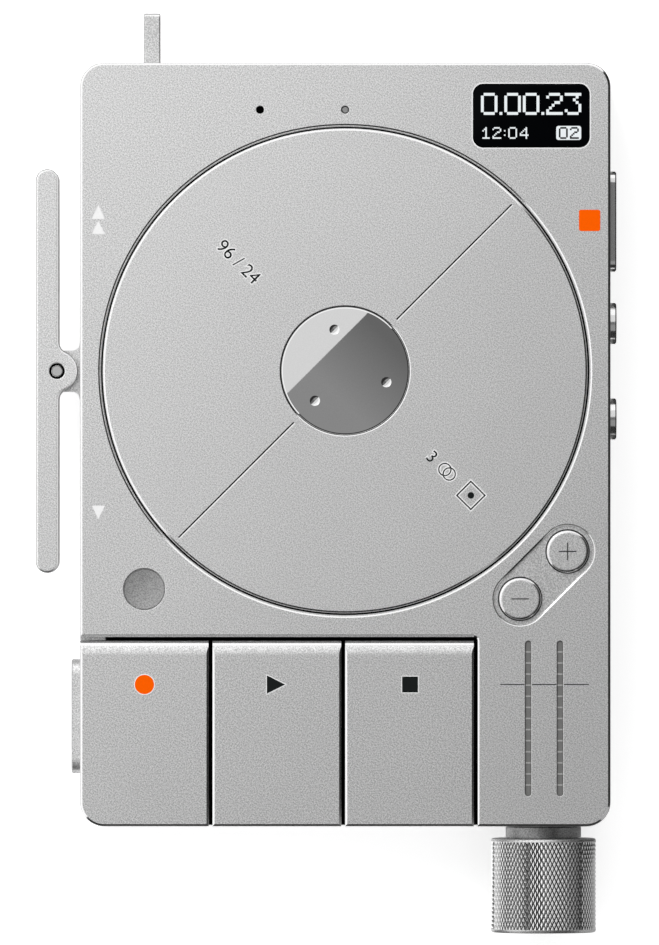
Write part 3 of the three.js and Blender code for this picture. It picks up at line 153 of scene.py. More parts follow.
def turnedPiece(name, profile, x, y, axis="Z", sides=96, closed=False):
    # A profile of (radius, height) turned about an axis through x, y
    bm = bmesh.new()
    loops = []
    for radius, height in profile:
        if radius < 1e-6:
            loops.append([bm.verts.new(axes[axis](x, y, height))])
        else:
            loops.append([bm.verts.new(axes[axis](u, v, height))
                          for u, v in circleOutline(x, y, radius, sides)])
    pairs = list(zip(loops, loops[1:]))
    if closed:
        pairs.append((loops[-1], loops[0]))
    for lower, upper in pairs:
        if len(lower) == 1 and len(upper) == 1:
            continue
        for i in range(sides):
            j = (i + 1) % sides
            if len(lower) == 1:
                bm.faces.new((lower[0], upper[j], upper[i]))
            elif len(upper) == 1:
                bm.faces.new((lower[i], lower[j], upper[0]))
            else:
                bm.faces.new((lower[i], lower[j], upper[j], upper[i]))
    return meshOf(name, bm)


def settle(piece):
    bpy.context.view_layer.update()
    seen = piece.evaluated_get(bpy.context.evaluated_depsgraph_get())
    mesh = bpy.data.meshes.new_from_object(seen)
    old = piece.data
    piece.modifiers.clear()
    piece.data = mesh
    bpy.data.meshes.remove(old)
    return piece


def carve(piece, *tools, operation="DIFFERENCE"):
    for tool in tools:
        step = piece.modifiers.new("carve", "BOOLEAN")
        step.solver = "MANIFOLD"
        step.operation = operation
        step.object = tool
    settle(piece)
    for tool in tools:
        bpy.data.objects.remove(tool)
    return piece


def added(piece, *tools):
    return carve(piece, *tools, operation="UNION")


def shared(piece, *tools):
    return carve(piece, *tools, operation="INTERSECT")


# Angles and sizes that tell flats from edges, and doubled points from real ones
shadeSize = dict(flat=0.006, sharp=28, level=0.93, weld=0.0004, sliver=0.0002)


def flatAreas(bm):
    # For each face, the area of the flat that it is part of. Dictionaries hold the faces here and
    # in cornerFans, as they keep their order and a set doesn't, so each run sums them alike.
    areas = {}
    for start in bm.faces:
        if start in areas:
            continue
        flat, queue = {start: True}, [start]
        while queue:
            for edge in queue.pop().edges:
                if len(edge.link_faces) == 2 and edge.calc_face_angle(1) < shadeSize["flat"]:
                    for near in edge.link_faces:
                        if near not in flat:
                            flat[near] = True
                            queue.append(near)
        total = sum(face.calc_area() for face in flat)
        areas.update((face, total) for face in flat)
    return areas


def cornerFans(vert):
    # Faces round a corner, in groups that no sharp edge parts
    waiting = dict.fromkeys(vert.link_faces)
    while waiting:
        queue = [waiting.popitem()[0]]
        fan = list(queue)
        while queue:
            for edge in queue.pop().edges:
                if vert in edge.verts and edge.smooth:
                    for near in edge.link_faces:
                        if near in waiting:
                            del waiting[near]
                            queue.append(near)
                            fan.append(near)
        yield fan


def shadeByFlats(mesh, degrees):
    # Wide flats keep their own direction, and the small faces beside them bend to it
    bm = bmesh.new()
    bm.from_mesh(mesh)
    for face in bm.faces:
        face.smooth = True
    for edge in bm.edges:
        edge.smooth = len(edge.link_faces) == 2 and edge.calc_face_angle(0) < math.radians(degrees)
    areas = flatAreas(bm)
    leaning = {}
    for vert in bm.verts:
        for fan in cornerFans(vert):
            lean = sum((face.normal * areas[face] ** 2 for face in fan), Vector())
            lean = lean.normalized() if lean.length > 0 else fan[0].normal.copy()
            leaning.update(((face.index, vert.index), lean) for face in fan)
    bm.to_mesh(mesh)
    bm.free()
    mesh.normals_split_custom_set([
        leaning[(polygon.index, mesh.loops[i].vertex_index)]
        for polygon in mesh.polygons for i in polygon.loop_indices])


def polishEdges(mesh, paint):
    # The rounded edges between the blasted flats are smooth
    mesh.materials.append(paint)
    for polygon in mesh.polygons:
        if max(abs(n) for n in polygon.normal) < shadeSize["level"]:
            polygon.material_index = 1


def finishPiece(piece, paint, body, slot, *nodes, degrees=shadeSize["sharp"], edges=None):
    # Weld, shrink to metres, shade, paint, and hand over to the frame
    bm = bmesh.new()
    bm.from_mesh(piece.data)
    bmesh.ops.remove_doubles(bm, verts=bm.verts, dist=shadeSize["weld"])
    bmesh.ops.dissolve_degenerate(bm, edges=bm.edges, dist=shadeSize["sliver"])
    bmesh.ops.scale(bm, vec=(metre, metre, metre), verts=bm.verts)
    bm.to_mesh(piece.data)
    bm.free()
    shadeByFlats(piece.data, degrees)
    piece.data.materials.clear()
    piece.data.materials.append(paint)
    if edges:
        polishEdges(piece.data, edges)
    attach(piece, body)
    if nodes:
        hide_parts(*nodes)
    return piece


def milledPiece(piece, paint, body, node):
    # Blasted flats with polished edges
    return finishPiece(piece, paint, body, "satin_aluminium", node, edges=edgeMetal)


class Signal:
    # A socket that takes part in Python arithmetic
    def __init__(self, sheet, socket):
        self.sheet = sheet
        self.socket = socket

    def __add__(self, other):
        return self.sheet.maths("ADD", self, other)

    def __radd__(self, other):
        return self.sheet.maths("ADD", other, self)

    def __sub__(self, other):
        return self.sheet.maths("SUBTRACT", self, other)

    def __rsub__(self, other):
        return self.sheet.maths("SUBTRACT", other, self)

    def __mul__(self, other):
        return self.sheet.maths("MULTIPLY", self, other)

    def __rmul__(self, other):
        return self.sheet.maths("MULTIPLY", other, self)

    def __truediv__(self, other):
        return self.sheet.maths("DIVIDE", self, other)

    def __rtruediv__(self, other):
        return self.sheet.maths("DIVIDE", other, self)


class NodeSheet:
    # A node tree, built from calls that give a node's type, its settings and its sockets
    def __init__(self, tree):
        self.tree = tree
        tree.nodes.clear()

    def node(self, kind, settings=None, values=None, out=0):
        made = self.tree.nodes.new(kind)
        for key, value in (settings or {}).items():
            setattr(made, key, value)
        for key, value in (values or {}).items():
            if isinstance(value, Signal):
                self.tree.links.new(value.socket, made.inputs[key])
            else:
                made.inputs[key].default_value = value
        return Signal(self, made.outputs[out]) if made.outputs else made

    def maths(self, operation, *values):
        return self.node("ShaderNodeMath", {"operation": operation}, dict(enumerate(values)))


class Sheet(NodeSheet):
    # One material
    def __init__(self, name):
        self.material = bpy.data.materials.new(name)
        self.material.use_nodes = True
        super().__init__(self.material.node_tree)

    def place(self):
        return self.node("ShaderNodeTexCoord", out="Object")

    def noise(self, scale, detail=2.0, rough=0.5, where=None):
        return self.node("ShaderNodeTexNoise", None,
                         {"Vector": where or self.place(), "Scale": scale, "Detail": detail,
                          "Roughness": rough})

    def stretched(self, signal, gain):
        # More contrast about the middle of a texture
        return self.node("ShaderNodeMath", {"operation": "ADD", "use_clamp": True},
                         {0: (signal - 0.5) * gain, 1: 0.5})

    def blend(self, factor, low, high):
        # Colours mix through one node whose colour sockets are 6 and 7
        return self.node("ShaderNodeMix", {"data_type": "RGBA"},
                         {0: factor, 6: low, 7: high}, out=2)

    def bump(self, height, strength, distance):
        return self.node("ShaderNodeBump", None,
                         {"Height": height, "Strength": strength, "Distance": distance})

    def finish(self, **values):
        named = {key.replace("_", " "): value for key, value in values.items()}
        self.output(self.node("ShaderNodeBsdfPrincipled", None, named))
        return self.material

    def output(self, shader):
        self.node("ShaderNodeOutputMaterial", None, {"Surface": shader})


def grey(level):
    return (level, level, level, 1.0)


def darker(colour):
    return tuple(c * 0.9 for c in colour[:3]) + (1.0,)


def beadBlasted(name, low, high, rough, grain):
    # Blasted and anodised: a fine speckle in tone, gloss and height
    sheet = Sheet(name)
    askew = sheet.node("ShaderNodeMapping", None,
                       {"Vector": sheet.place(), "Rotation": (0, 0, 0.6)})
    speckle = sheet.stretched(sheet.noise(grain, 2.0, 0.6, askew), 4.2)
    broad = sheet.noise(60.0, 2.0)
    tone = sheet.blend(speckle, grey(low), grey(high))
    return sheet.finish(
        Base_Color=tone, Metallic=1.0,
        Roughness=rough - 0.03 + 0.04 * broad + 0.03 * speckle,
        Normal=sheet.bump(speckle, 0.12, 0.00001))


def polishedMetal(name, level, rough):
    sheet = Sheet(name)
    haze = sheet.noise(180.0, 3.0)
    fine = sheet.stretched(sheet.noise(7000.0, 1.0), 2.0)
    return sheet.finish(
        Base_Color=sheet.blend(fine, grey(level * 0.95), grey(level)), Metallic=1.0,
        Roughness=rough + 0.006 * haze)


def flatPaint(name, colour, rough=0.45):
    sheet = Sheet(name)
    fleck = sheet.noise(4200.0, 2.0)
    return sheet.finish(Base_Color=sheet.blend(fleck, darker(colour), colour), IOR=1.05,
                        Roughness=rough + 0.1 * fleck,
                        Normal=sheet.bump(fleck, 0.15, 0.00001))


def mouldedPlastic(name, colour, rough):
    sheet = Sheet(name)
    texture = sheet.noise(3600.0, 2.0)
    lighter = tuple(min(1.0, c * 1.35 + 0.004) for c in colour[:3]) + (1.0,)
    return sheet.finish(Base_Color=sheet.blend(texture, colour, lighter),
                        Roughness=rough + 0.08 * texture,
                        Normal=sheet.bump(texture, 0.3, 0.00002))


def coverGlass(name):
    sheet = Sheet(name)
    smear = sheet.noise(140.0, 3.0)
    dark, light = (0.0004, 0.0006, 0.001, 1), (0.001, 0.0014, 0.002, 1)
    return sheet.finish(Base_Color=sheet.blend(smear, dark, light),
                        Roughness=0.03 + 0.03 * smear, IOR=1.12)


def lightDots(name, colour, strength):
    sheet = Sheet(name)
    flicker = sheet.noise(1500.0, 1.0)
    glow = sheet.blend(flicker, darker(colour), colour)
    return sheet.finish(Base_Color=(0.02, 0.02, 0.02, 1), Roughness=0.4,
                        Emission_Color=glow, Emission_Strength=strength)


def circuitLaminate(name):
    # Solder mask over tracks that run both ways
    sheet = Sheet(name)
    tracks = sheet.node("ShaderNodeTexBrick", {"offset": 0.37, "squash": 0.7},
                        {"Vector": sheet.place(), "Scale": 260.0, "Mortar Size": 0.06,
                         "Color1": grey(0.0), "Color2": grey(0.25), "Mortar": grey(1.0)})
    weave = sheet.noise(2400.0, 2.0)
    base = sheet.blend(tracks, (0.006, 0.05, 0.028, 1), (0.02, 0.12, 0.06, 1))
    return sheet.finish(Base_Color=base, Roughness=0.35 + 0.1 * weave,
                        Normal=sheet.bump(tracks, 0.4, 0.00003))


def pouchFoil(name):
    sheet = Sheet(name)
    crease = sheet.node("ShaderNodeTexVoronoi", {"feature": "DISTANCE_TO_EDGE"},
                        {"Vector": sheet.place(), "Scale": 160.0})
    grain = sheet.noise(3000.0, 2.0)
    return sheet.finish(Base_Color=sheet.blend(grain, grey(0.42), grey(0.56)), Metallic=1.0,
                        Roughness=0.38 + 0.12 * grain,
                        Normal=sheet.bump(crease, 0.3, 0.0001))


def woundCopper(name):
    sheet = Sheet(name)
    strands = sheet.node("ShaderNodeTexWave", {"bands_direction": "Z"},
                         {"Vector": sheet.place(), "Scale": 900.0, "Distortion": 1.0}, out="Fac")
    dark, light = (0.34, 0.11, 0.04, 1), (0.72, 0.32, 0.16, 1)
    return sheet.finish(Base_Color=sheet.blend(strands, dark, light),
                        Metallic=1.0, Roughness=0.3 + 0.15 * strands,
                        Normal=sheet.bump(strands, 0.5, 0.00005))


def turnedMetal(name, colour, rough):
    sheet = Sheet(name)
    rings = sheet.node("ShaderNodeTexWave", {"wave_type": "RINGS", "rings_direction": "Z"},
                       {"Vector": sheet.place(), "Scale": 700.0, "Distortion": 0.6}, out="Fac")
    grain = sheet.noise(3000.0, 2.0)
    return sheet.finish(Base_Color=sheet.blend(grain, darker(colour), colour), Metallic=1.0,
                        Roughness=rough + 0.08 * rings,
                        Normal=sheet.bump(rings, 0.15, 0.00002))


# Blasted: darkest and lightest speckle, roughness, fineness. Polished: level, roughness
faceMetal = beadBlasted("faceMetal", 0.6, 1.0, 0.4, 6250.0)
reelMetal = beadBlasted("reelMetal", 0.62, 1.0, 0.4, 6500.0)
keyMetal = beadBlasted("keyMetal", 0.58, 1.0, 0.4, 6000.0)
leverMetal = beadBlasted("leverMetal", 0.62, 1.0, 0.4, 6250.0)
edgeMetal = polishedMetal("edgeMetal", 0.92, 0.13)
knurlMetal = polishedMetal("knurlMetal", 0.98, 0.07)
# The knurl's core is near black so the valleys between its grains read dark: painted shade
grooveMetal = beadBlasted("grooveMetal", 0.05, 0.1, 0.5, 4200.0)
toggleMetal = beadBlasted("toggleMetal", 0.56, 0.92, 0.36, 6000.0)
# The plug's neck is a darker steel, partly its own tone and partly painted shade from under the
# case
neckMetal = beadBlasted("neckMetal", 0.2, 0.44, 0.34, 6000.0)
dishMetal = beadBlasted("dishMetal", 0.3, 0.52, 0.6, 6250.0)
hubMirror = polishedMetal("hubMirror", 0.86, 0.008)
pinMetal = polishedMetal("pinMetal", 0.6, 0.12)
springSteel = turnedMetal("springSteel", grey(0.55), 0.3)
blackInk = flatPaint("blackInk", (0.012, 0.014, 0.014, 1))
greyInk = flatPaint("greyInk", (0.05, 0.05, 0.05, 1))
# This white prints the case's arrows, and also serves as painted highlight round other marks and
# the display window
whiteInk = flatPaint("whiteInk", (0.92, 0.92, 0.92, 1))
orangeInk = flatPaint("orangeInk", (1.0, 0.118, 0.0, 1))
displayGlass = coverGlass("displayGlass")
displayLight = lightDots("displayLight", (0.83, 0.88, 0.9, 1), 1.0)
# A black that stands in for shade, put in gaps, round buttons and on parts seen through holes
blackFelt = flatPaint("blackFelt", (0.003, 0.003, 0.003, 1), 0.9)
portPlastic = mouldedPlastic("portPlastic", (0.012, 0.012, 0.013, 1), 0.45)
meterPlastic = mouldedPlastic("meterPlastic", (0.13, 0.13, 0.127, 1), 0.35)
ribPlastic = mouldedPlastic("ribPlastic", (0.3, 0.3, 0.295, 1), 0.3)
lampPlastic = mouldedPlastic("lampPlastic", (0.2, 0.2, 0.2, 1), 0.3)
boardGreen = circuitLaminate("boardGreen")
batteryFoil = pouchFoil("batteryFoil")
coilCopper = woundCopper("coilCopper")
print("materials made:", len(bpy.data.materials))


def caseOutline(inset=0.0):
    size = caseSize
    return roundedOutline(size["left"] + inset, size["right"] - inset, size["bottom"] + inset,
                          size["top"] - inset, size["corner"] - inset, 12)


def caseBlank(name, low, high):
    rings = [(caseOutline(0), low)]
    rings += [(caseOutline(inset), high - drop) for inset, drop in caseSize["rim"]]
    return stackPiece(name, rings)


windowSize = dict(left=16.35, right=31.35, bottom=28.6, top=36.8, corner=1.35)
volumeSize = dict(plus=(28.5, -23.14), minus=(22.42, -29.22), radius=2.7, recess=3.33,
                  depth=0.42, proud=0.3, gap=0.15, rim=0.22,
                  brow=((0.0, 0.26), (0.08, 0.16), (0.17, 0.09), (0.28, 0.035), (0.42, 0.0)))
meterSize = dict(places=(23.46, 27.54), top=-34.6, bottom=-54.5, radius=0.385, sink=0.15,
                 count=14, ribWidth=0.2)
holeSize = dict(y=33.45, microphone=-10.9, radius=0.49, speakerX=-25.74, speakerY=-27.99,
                speaker=2.67)
screwSize = dict(places=((-30.7, 36.2), (30.7, 36.2), (-30.7, -55.1), (30.7, -55.1)),
                 head=1.5, shank=0.75, headHeight=0.7, length=4.6, socket=0.62,
                 post=1.8, postHigh=7.2, postLow=3.9, bite=1.05, biteHigh=4.9)
coverSize = dict(standoffX=(-28.5, 28.5), standoffY=(-9.6, 26.9), standoff=1.6, low=0.8, high=3.9,
                 slack=0.15)


def windowOutline(inset=0.0):
    size = windowSize
    return roundedOutline(size["left"] + inset, size["right"] - inset, size["bottom"] + inset,
                          size["top"] - inset, size["corner"] - inset, 10)


def bayOutline(inset=0.0):
    # Open at the left and bottom, with one rounded corner
    x0, y0, corner = caseSize["left"] - 2, caseSize["bottom"] - 2, baySize["corner"]
    x1, y1 = baySize["right"], baySize["top"]
    return ([(x0, y0), (x1 - inset, y0)]
            + arcPoints(x1 - corner, y1 - corner, corner - inset, 0, 90, 6) + [(x0, y1 - inset)])


sideSize = dict(memo=((14.26, middle), (24.24, middle)), memoHole=1.6, memoCap=1.45,
                memoFlange=2.15,
                rounds=(6.14, -6.14), roundHole=2.79, roundCap=2.64, roundFlange=3.34,
                left=((-49.87, 4.05), (-38.97, 4.05)), leftHole=2.05, leftCap=1.9, leftFlange=2.25,
                inner=31.4, flange=32.1, rightOut=34.87, leftOut=35.25, bevel=0.2)
portSize = dict(jacks=(-14.0, -4.0, 6.0), jack=2.6, data=((middle, 14.8), (middle, 20.2)),
                dataHole=1.75, power=(-26.2, -23.44), powerLow=5.75, powerHigh=10.25,
                output=25.5, outputBore=3.475, outputSeat=4.5, boss=5.3, bossLow=0.8,
                bossHigh=3.6)


def frontHoles():
    plate = caseSize["plate"] - 1
    holes = [rimCutter("windowHole", windowOutline, plate, front, 0.14)]
    for x in (holeSize["microphone"], 0.0):
        holes.append(rimCutter("smallHole", lambda inset, x=x: circleOutline(
            x, holeSize["y"], holeSize["radius"] - inset, 32), plate, front, 0.1))
    sx, sy, radius = holeSize["speakerX"], holeSize["speakerY"], holeSize["speaker"]
    holes.append(rimCutter("speakerHole", lambda inset: circleOutline(sx, sy, radius - inset, 72),
                           front - 0.9, front, 0.08))
    holes.append(rodPiece("speakerBore", sx, sy, radius - 0.6, plate, front, 72))
    volume = volumeSize
    holes.append(rimCutter("volumeRecess", lambda inset: pillOutline(
        volume["minus"], volume["plus"], volume["recess"] - inset, 36),
        front - volume["depth"], front, volume["rim"], edge=bevelEdge))
    for x, y in (volume["plus"], volume["minus"]):
        bore = volume["radius"] + volume["gap"]
        holes.append(rodPiece("volumeBore", x, y, bore, plate, front, 72))
    meter = meterSize
    for x in meter["places"]:
        ends = ((x, meter["bottom"] + meter["radius"]), (x, meter["top"] - meter["radius"]))
        holes.append(rimCutter("meterSlot", lambda inset, ends=ends: pillOutline(
            *ends, meter["radius"] - inset, 12), plate, front, 0.08))
    return holes


def sideHoles():
    # Openings of the right, left, top and bottom walls
    size, port = sideSize, portSize
    right, left, top, bottom = (caseSize[wall] for wall in ("right", "left", "top", "bottom"))
    deep = 3
    memo = pillOutline(*size["memo"], size["memoHole"])
    pill = pillOutline(*size["left"], size["leftHole"])
    data = pillOutline(*port["data"], port["dataHole"], 16)
    holes = [plainStack("memoHole", memo, right - deep, right + 1, "X")]
    holes += [rodPiece("roundHole", y, middle, size["roundHole"], right - deep, right + 1, axis="X")
              for y in size["rounds"]]
    holes.append(plainStack("leftHole", pill, left - 1, left + deep, "X"))
    holes.append(boxPiece("stemSlot", left - 1, left + deep, -2.95, 2.95, 6.7, 9.3))
    for x in port["jacks"]:
        holes.append(rimCutter("jackHole", lambda inset, x=x: circleOutline(
            middle, x, port["jack"] - inset, 48), top - deep, top, 0.12, "Y"))
    holes.append(plainStack("dataHole", data, top - deep, top + 1, "Y"))
    holes.append(boxPiece("powerSlot", *port["power"], top - deep, top + 1,
                          port["powerLow"], port["powerHigh"]))
    holes.append(rodPiece("outputBore", middle, port["output"], port["outputBore"],
                          bottom - 1, bottom + 5, axis="Y"))
    holes.append(rodPiece("outputSeat", middle, port["output"], port["outputSeat"],
                          bottom + 1.6, bottom + 5, axis="Y"))
    return holes


def frontCase():
    size, bay, reel, bearing = caseSize, baySize, reelSize, bearingSize
    tub = caseBlank("frontShell", size["back"], front)
    wall, web, plate = size["wall"], bay["wall"], size["plate"]
    x0, x1 = size["left"] + wall, size["right"] - wall
    y0, y1 = size["bottom"] + wall, size["top"] - wall
    shoulder = bay["top"] + 2 * web
    carve(tub,
          boxPiece("upperHollow", x0, x1, bay["top"] + web, y1, 0, plate),
          boxPiece("columnHollow", bay["right"] + web, x1, y0, shoulder, 0, plate),
          boxPiece("lowerHollow", x0, x1, y0, shoulder, 0, bay["under"]))
    added(tub,
          rodPiece("reelCup", 0, 0, reel["hole"] + web, reel["floor"] - 1, front - 0.3, 128),
          rodPiece("bearingTube", 0, 0, bearing["tube"], bearing["low"], bearing["high"], 48))
    # The case's face falls a little toward the keys
    y = bay["top"] + bay["step"]
    slope = [(y - 1.4, front - 0.3), (y - 0.1, front - 0.14), (y, front), (y, front + 1),
             (y - 1.4, front + 1)]
    opening = [(0, reel["floor"])] + [(out, front - drop) for out, drop in reel["rim"]]
    opening.append((reel["rim"][-1][0], front + 1))
    carve(tub,
          stackPiece("reelOpening", [(circleOutline(0, 0, reel["hole"] + out, 256), z)
                                     for out, z in opening]),
          rodPiece("bearingBore", 0, 0, bearing["bore"], bearing["seat"], bearing["clear"], 48),
          rodPiece("bearingNeck", 0, 0, bearing["neck"], 7, bearing["clear"], 32),
          plainStack("bayStep", slope, size["left"] - 2, bay["right"] - 0.5, "X"),
          rimCutter("keyOpening", bayOutline, bay["floor"], front, 0.2, edge=bevelEdge))
    posts = [boxPiece("axlePost", x - web, x + web, *bay["post"]) for x in bay["keys"]]
    ledge = boxPiece("bayLedge", size["left"], bay["ledgeEnd"], bay["top"] - 0.4,
                     bay["top"] + 0.5, *bay["ledge"])
    added(tub, ledge, *posts)
    carve(tub, rodPiece("axleBore", *bay["axle"], bay["axleBore"], -31.86, 14.34, 24, "X"))
    # The lower right post stops under the output socket beside it
    screw, port = screwSize, portSize
    screwPosts = [rodPiece("screwPost", x, y, screw["post"], size["back"],
                           screw["postHigh" if x < 0 or y > 0 else "postLow"], 24)
                  for x, y in screw["places"]]
    boss = rodPiece("socketBoss", middle, port["output"], port["boss"],
                    size["bottom"] + port["bossLow"], size["bottom"] + port["bossHigh"], 48, "Y")
    added(tub, boss, *screwPosts)
    bites = [rodPiece("bite", x, y, screw["bite"], 0, screw["biteHigh"], 24)
             for x, y in screw["places"]]
    carve(tub, *frontHoles(), *sideHoles(), *bites)
    return milledPiece(tub, faceMetal, "case", "front_case")


def backCover():
    edge, size, screw = caseSize["edge"], coverSize, screwSize
    rings = [(caseOutline(inset), edge - height) for inset, height in
             reversed(roundEdge(edge, edge))]
    rings.append((caseOutline(0), caseSize["back"]))
    plate = stackPiece("backPlate", rings)
    standoffs = [rodPiece("standoff", x, y, size["standoff"], size["low"], size["high"], 24)
                 for x in size["standoffX"] for y in size["standoffY"]]
    added(plate, *standoffs)
    slack = size["slack"]
    seats = []
    head, shank, sink = (screw[name] + slack for name in ("head", "shank", "headHeight"))
    for x, y in screw["places"]:
        seats.append(rodPiece("headSeat", x, y, head, -1, sink, 48))
        seats.append(rodPiece("shankHole", x, y, shank, -1, 3, 32))
    carve(plate, *seats)
    return milledPiece(plate, faceMetal, "case", "back_cover")


def keySeals():
    # Black strips deep in the gaps round the keys, painted shade that keeps the gaps dark
    bay, low, high, slack = baySize, 12.6, 12.72, 0.04
    top, right, bottom = bay["top"], bay["right"], caseSize["bottom"] + 0.2
    *between, last = bay["gaps"]
    seal = boxPiece("keySeals", -30.7, right, top - bay["gap"] + slack, top + 0.1, low, high)
    strips = [boxPiece("strip", x + slack, x + bay["gap"] - slack, bottom, top - 0.2, low, high)
              for x in between]
    strips.append(boxPiece("strip", last + slack, right + 0.1, bottom, top - 0.2, low, high))
    added(seal, *strips)
    return finishPiece(seal, blackFelt, "case", "black_plastic")


# A thin black ring in a gap round a round part, painted shade that keeps the gap dark
def shadeRing(name, x, y, inner, outer, high, body="case"):
    profile = [(inner, high - 0.1), (outer, high - 0.1), (outer, high), (inner, high)]
    ring = turnedPiece(name, profile, x, y, sides=128, closed=True)
    return finishPiece(ring, blackFelt, body, "black_plastic")


frontCase()
backCover()
keySeals()
shadeRing("reelSeal", 0, 0, reelSize["radius"] - 0.6, reelSize["hole"] + 0.02, 13.15)
print("case made")


hubSize = dict(radius=8.2, under=14.9, crown=0.12, edge=0.2, pitch=5.47, dimple=0.68,
               slope=42, turn=104.6)


def reelDisc():
    size = reelSize
    profile = [(size["bore"], size["under"]), (size["radius"], size["under"])]
    profile += [(size["radius"] - inset, front - drop) for inset, drop in size["lip"]]
    rim = bevelEdge(front, size["hubRim"])
    profile += [(size["hubHole"] + inset, z) for inset, z in reversed(rim)]
    profile += [(size["hubHole"], size["hubSeat"]), (size["bore"], size["hubSeat"])]
    disc = turnedPiece("reelFace", profile, 0, 0, sides=256, closed=True)
    return milledPiece(disc, reelMetal, "reel", "reel_disc")


def hubCap():
    size = hubSize
    bulge = (size["radius"] ** 2 + size["crown"] ** 2) / (2 * size["crown"])
    flat = size["radius"] - size["edge"]
    profile = [(0, size["under"]), (size["radius"], size["under"])]
    profile += [(size["radius"] - inset, z) for inset, z in bevelEdge(front, size["edge"])]
    for i in range(1, 25):
        radius = flat * (1 - i / 24)
        rise = math.sqrt(bulge ** 2 - radius ** 2) - math.sqrt(bulge ** 2 - flat ** 2)
        profile.append((radius, front + rise))
    cap = turnedPiece("hubDome", profile, 0, 0, sides=192)
    # Each dimple is the lower part of a ball
    slope = math.radians(size["slope"])
    ball = size["dimple"] / math.sin(slope)
    high = front + 0.08 + ball * math.cos(slope)
    turns = [slope * j / 8 for j in range(9)]
    bowl = [(ball * math.sin(turn), high - ball * math.cos(turn)) for turn in turns]
    bowl += [(size["dimple"], front + 0.5), (0, front + 0.5)]
    dimples = []
    for i in range(3):
        angle = math.radians(size["turn"] + 120 * i)
        x, y = size["pitch"] * math.cos(angle), size["pitch"] * math.sin(angle)
        dimples.append(turnedPiece("dimple", bowl, x, y, sides=40))
    carve(cap, *dimples)
    return finishPiece(cap, hubMirror, "reel", "mirror_metal", "hub_cap", degrees=20)


def inkPlate(name, outline, face, body, ink, slot="black_plastic", thick=inkSize["thick"]):
    # A printed mark, as a film on the face
    plate = plainStack(name, outline, face, face + thick)
    return finishPiece(plate, ink, body, slot)


def turned(points, degrees, x=0.0, y=0.0):
    c, s = math.cos(math.radians(degrees)), math.sin(math.radians(degrees))
    return [(x + u * c - v * s, y + u * s + v * c) for u, v in points]


def ringPlate(name, centre, radius, width, face, ink):
    inner, outer, top = radius - width / 2, radius + width / 2, face + inkSize["thick"]
    profile = [(inner, face), (outer, face), (outer, top), (inner, top)]
    ring = turnedPiece(name, profile, *centre, sides=48, closed=True)
    return finishPiece(ring, ink, "reel", "black_plastic")


def numerals(name, words, centre, height, degrees, face, ink, thicken):
    # Printed figures, whose strokes are thickened by an offset
    curve = bpy.data.curves.new(name, "FONT")
    curve.body = words
    curve.align_x = "CENTER"
    curve.align_y = "CENTER"
    curve.size = height / 0.7
    curve.extrude = inkSize["thick"] / 2
    curve.offset = thicken
    curve.resolution_u = 6
    letters = linked(name + "Words", curve)
    bpy.context.view_layer.update()
    seen = letters.evaluated_get(bpy.context.evaluated_depsgraph_get())
    mesh = bpy.data.meshes.new_from_object(seen)
    bpy.data.objects.remove(letters)
    bm = bmesh.new()
    bm.from_mesh(mesh)
    bmesh.ops.remove_doubles(bm, verts=bm.verts, dist=0.0005)
    bmesh.ops.recalc_face_normals(bm, faces=bm.faces)
    bm.to_mesh(mesh)
    bm.free()
    place = Matrix.Translation((*centre, face + inkSize["thick"] / 2))
    mesh.transform(place @ Matrix.Rotation(math.radians(degrees), 4, "Z"))
    return finishPiece(linked(name, mesh), ink, "reel", "black_plastic")


# lit, rim, ringRim and squareRim size the white strips and rims round the printed marks, which are
# painted highlights
markSize = dict(lineStart=9.3, lineEnd=30.2, line=0.095, lit=0.24, turn=-45,
                rate=(-13.72, 13.93), rateHigh=1.7, count=(11.08, -11.05), countHigh=1.6, rim=0.13,
                rings=((12.77, -12.64), (13.33, -13.22)), ring=0.78, ringRim=0.44, ringLine=0.16,
                square=(16.1, -15.96), squareRim=(1.5, 0.46), squareLine=(1.36, 0.18), dot=0.42)


def reelMarks():
    size = markSize
    start, end, line, lit = size["lineStart"], size["lineEnd"], size["line"], size["lit"]
    lower = front - inkSize["under"]
    # Each line gets a white strip along one side only: a painted highlight of the lit wall of its
    # groove
    for name, degrees, side in (("upperLine", 45, -1), ("lowerLine", 225, 1)):
        dark = boxOutline(start, end, -line, line)
        bright = boxOutline(start, end, *sorted((side * line, side * lit)))
        inkPlate(name, turned(dark, degrees), front, "reel", blackInk)
        inkPlate(name + "Edge", turned(bright, degrees), front, "reel", whiteInk)
    # Each figure sits on a thickened white copy, a painted highlight rim round the print
    for name, words, centre, high in (("rateMark", "96 / 24", size["rate"], size["rateHigh"]),
                                      ("countMark", "3", size["count"], size["countHigh"])):
        numerals(name + "Edge", words, centre, high, size["turn"], lower, whiteInk, size["rim"])
        numerals(name, words, centre, high, size["turn"], front, blackInk, 0.0)
    # Each ring sits on a wider white ring, a painted highlight round the print
    # The second ring lies a little higher, so that the two don't fight where they cross
    for name, centre, lift in zip(("firstRing", "secondRing"), size["rings"], (0.0, 0.002)):
        ringPlate(name + "Edge", centre, size["ring"], size["ringRim"], lower + lift, whiteInk)
        ringPlate(name, centre, size["ring"], size["ringLine"], front + lift, blackInk)
    frameMark()


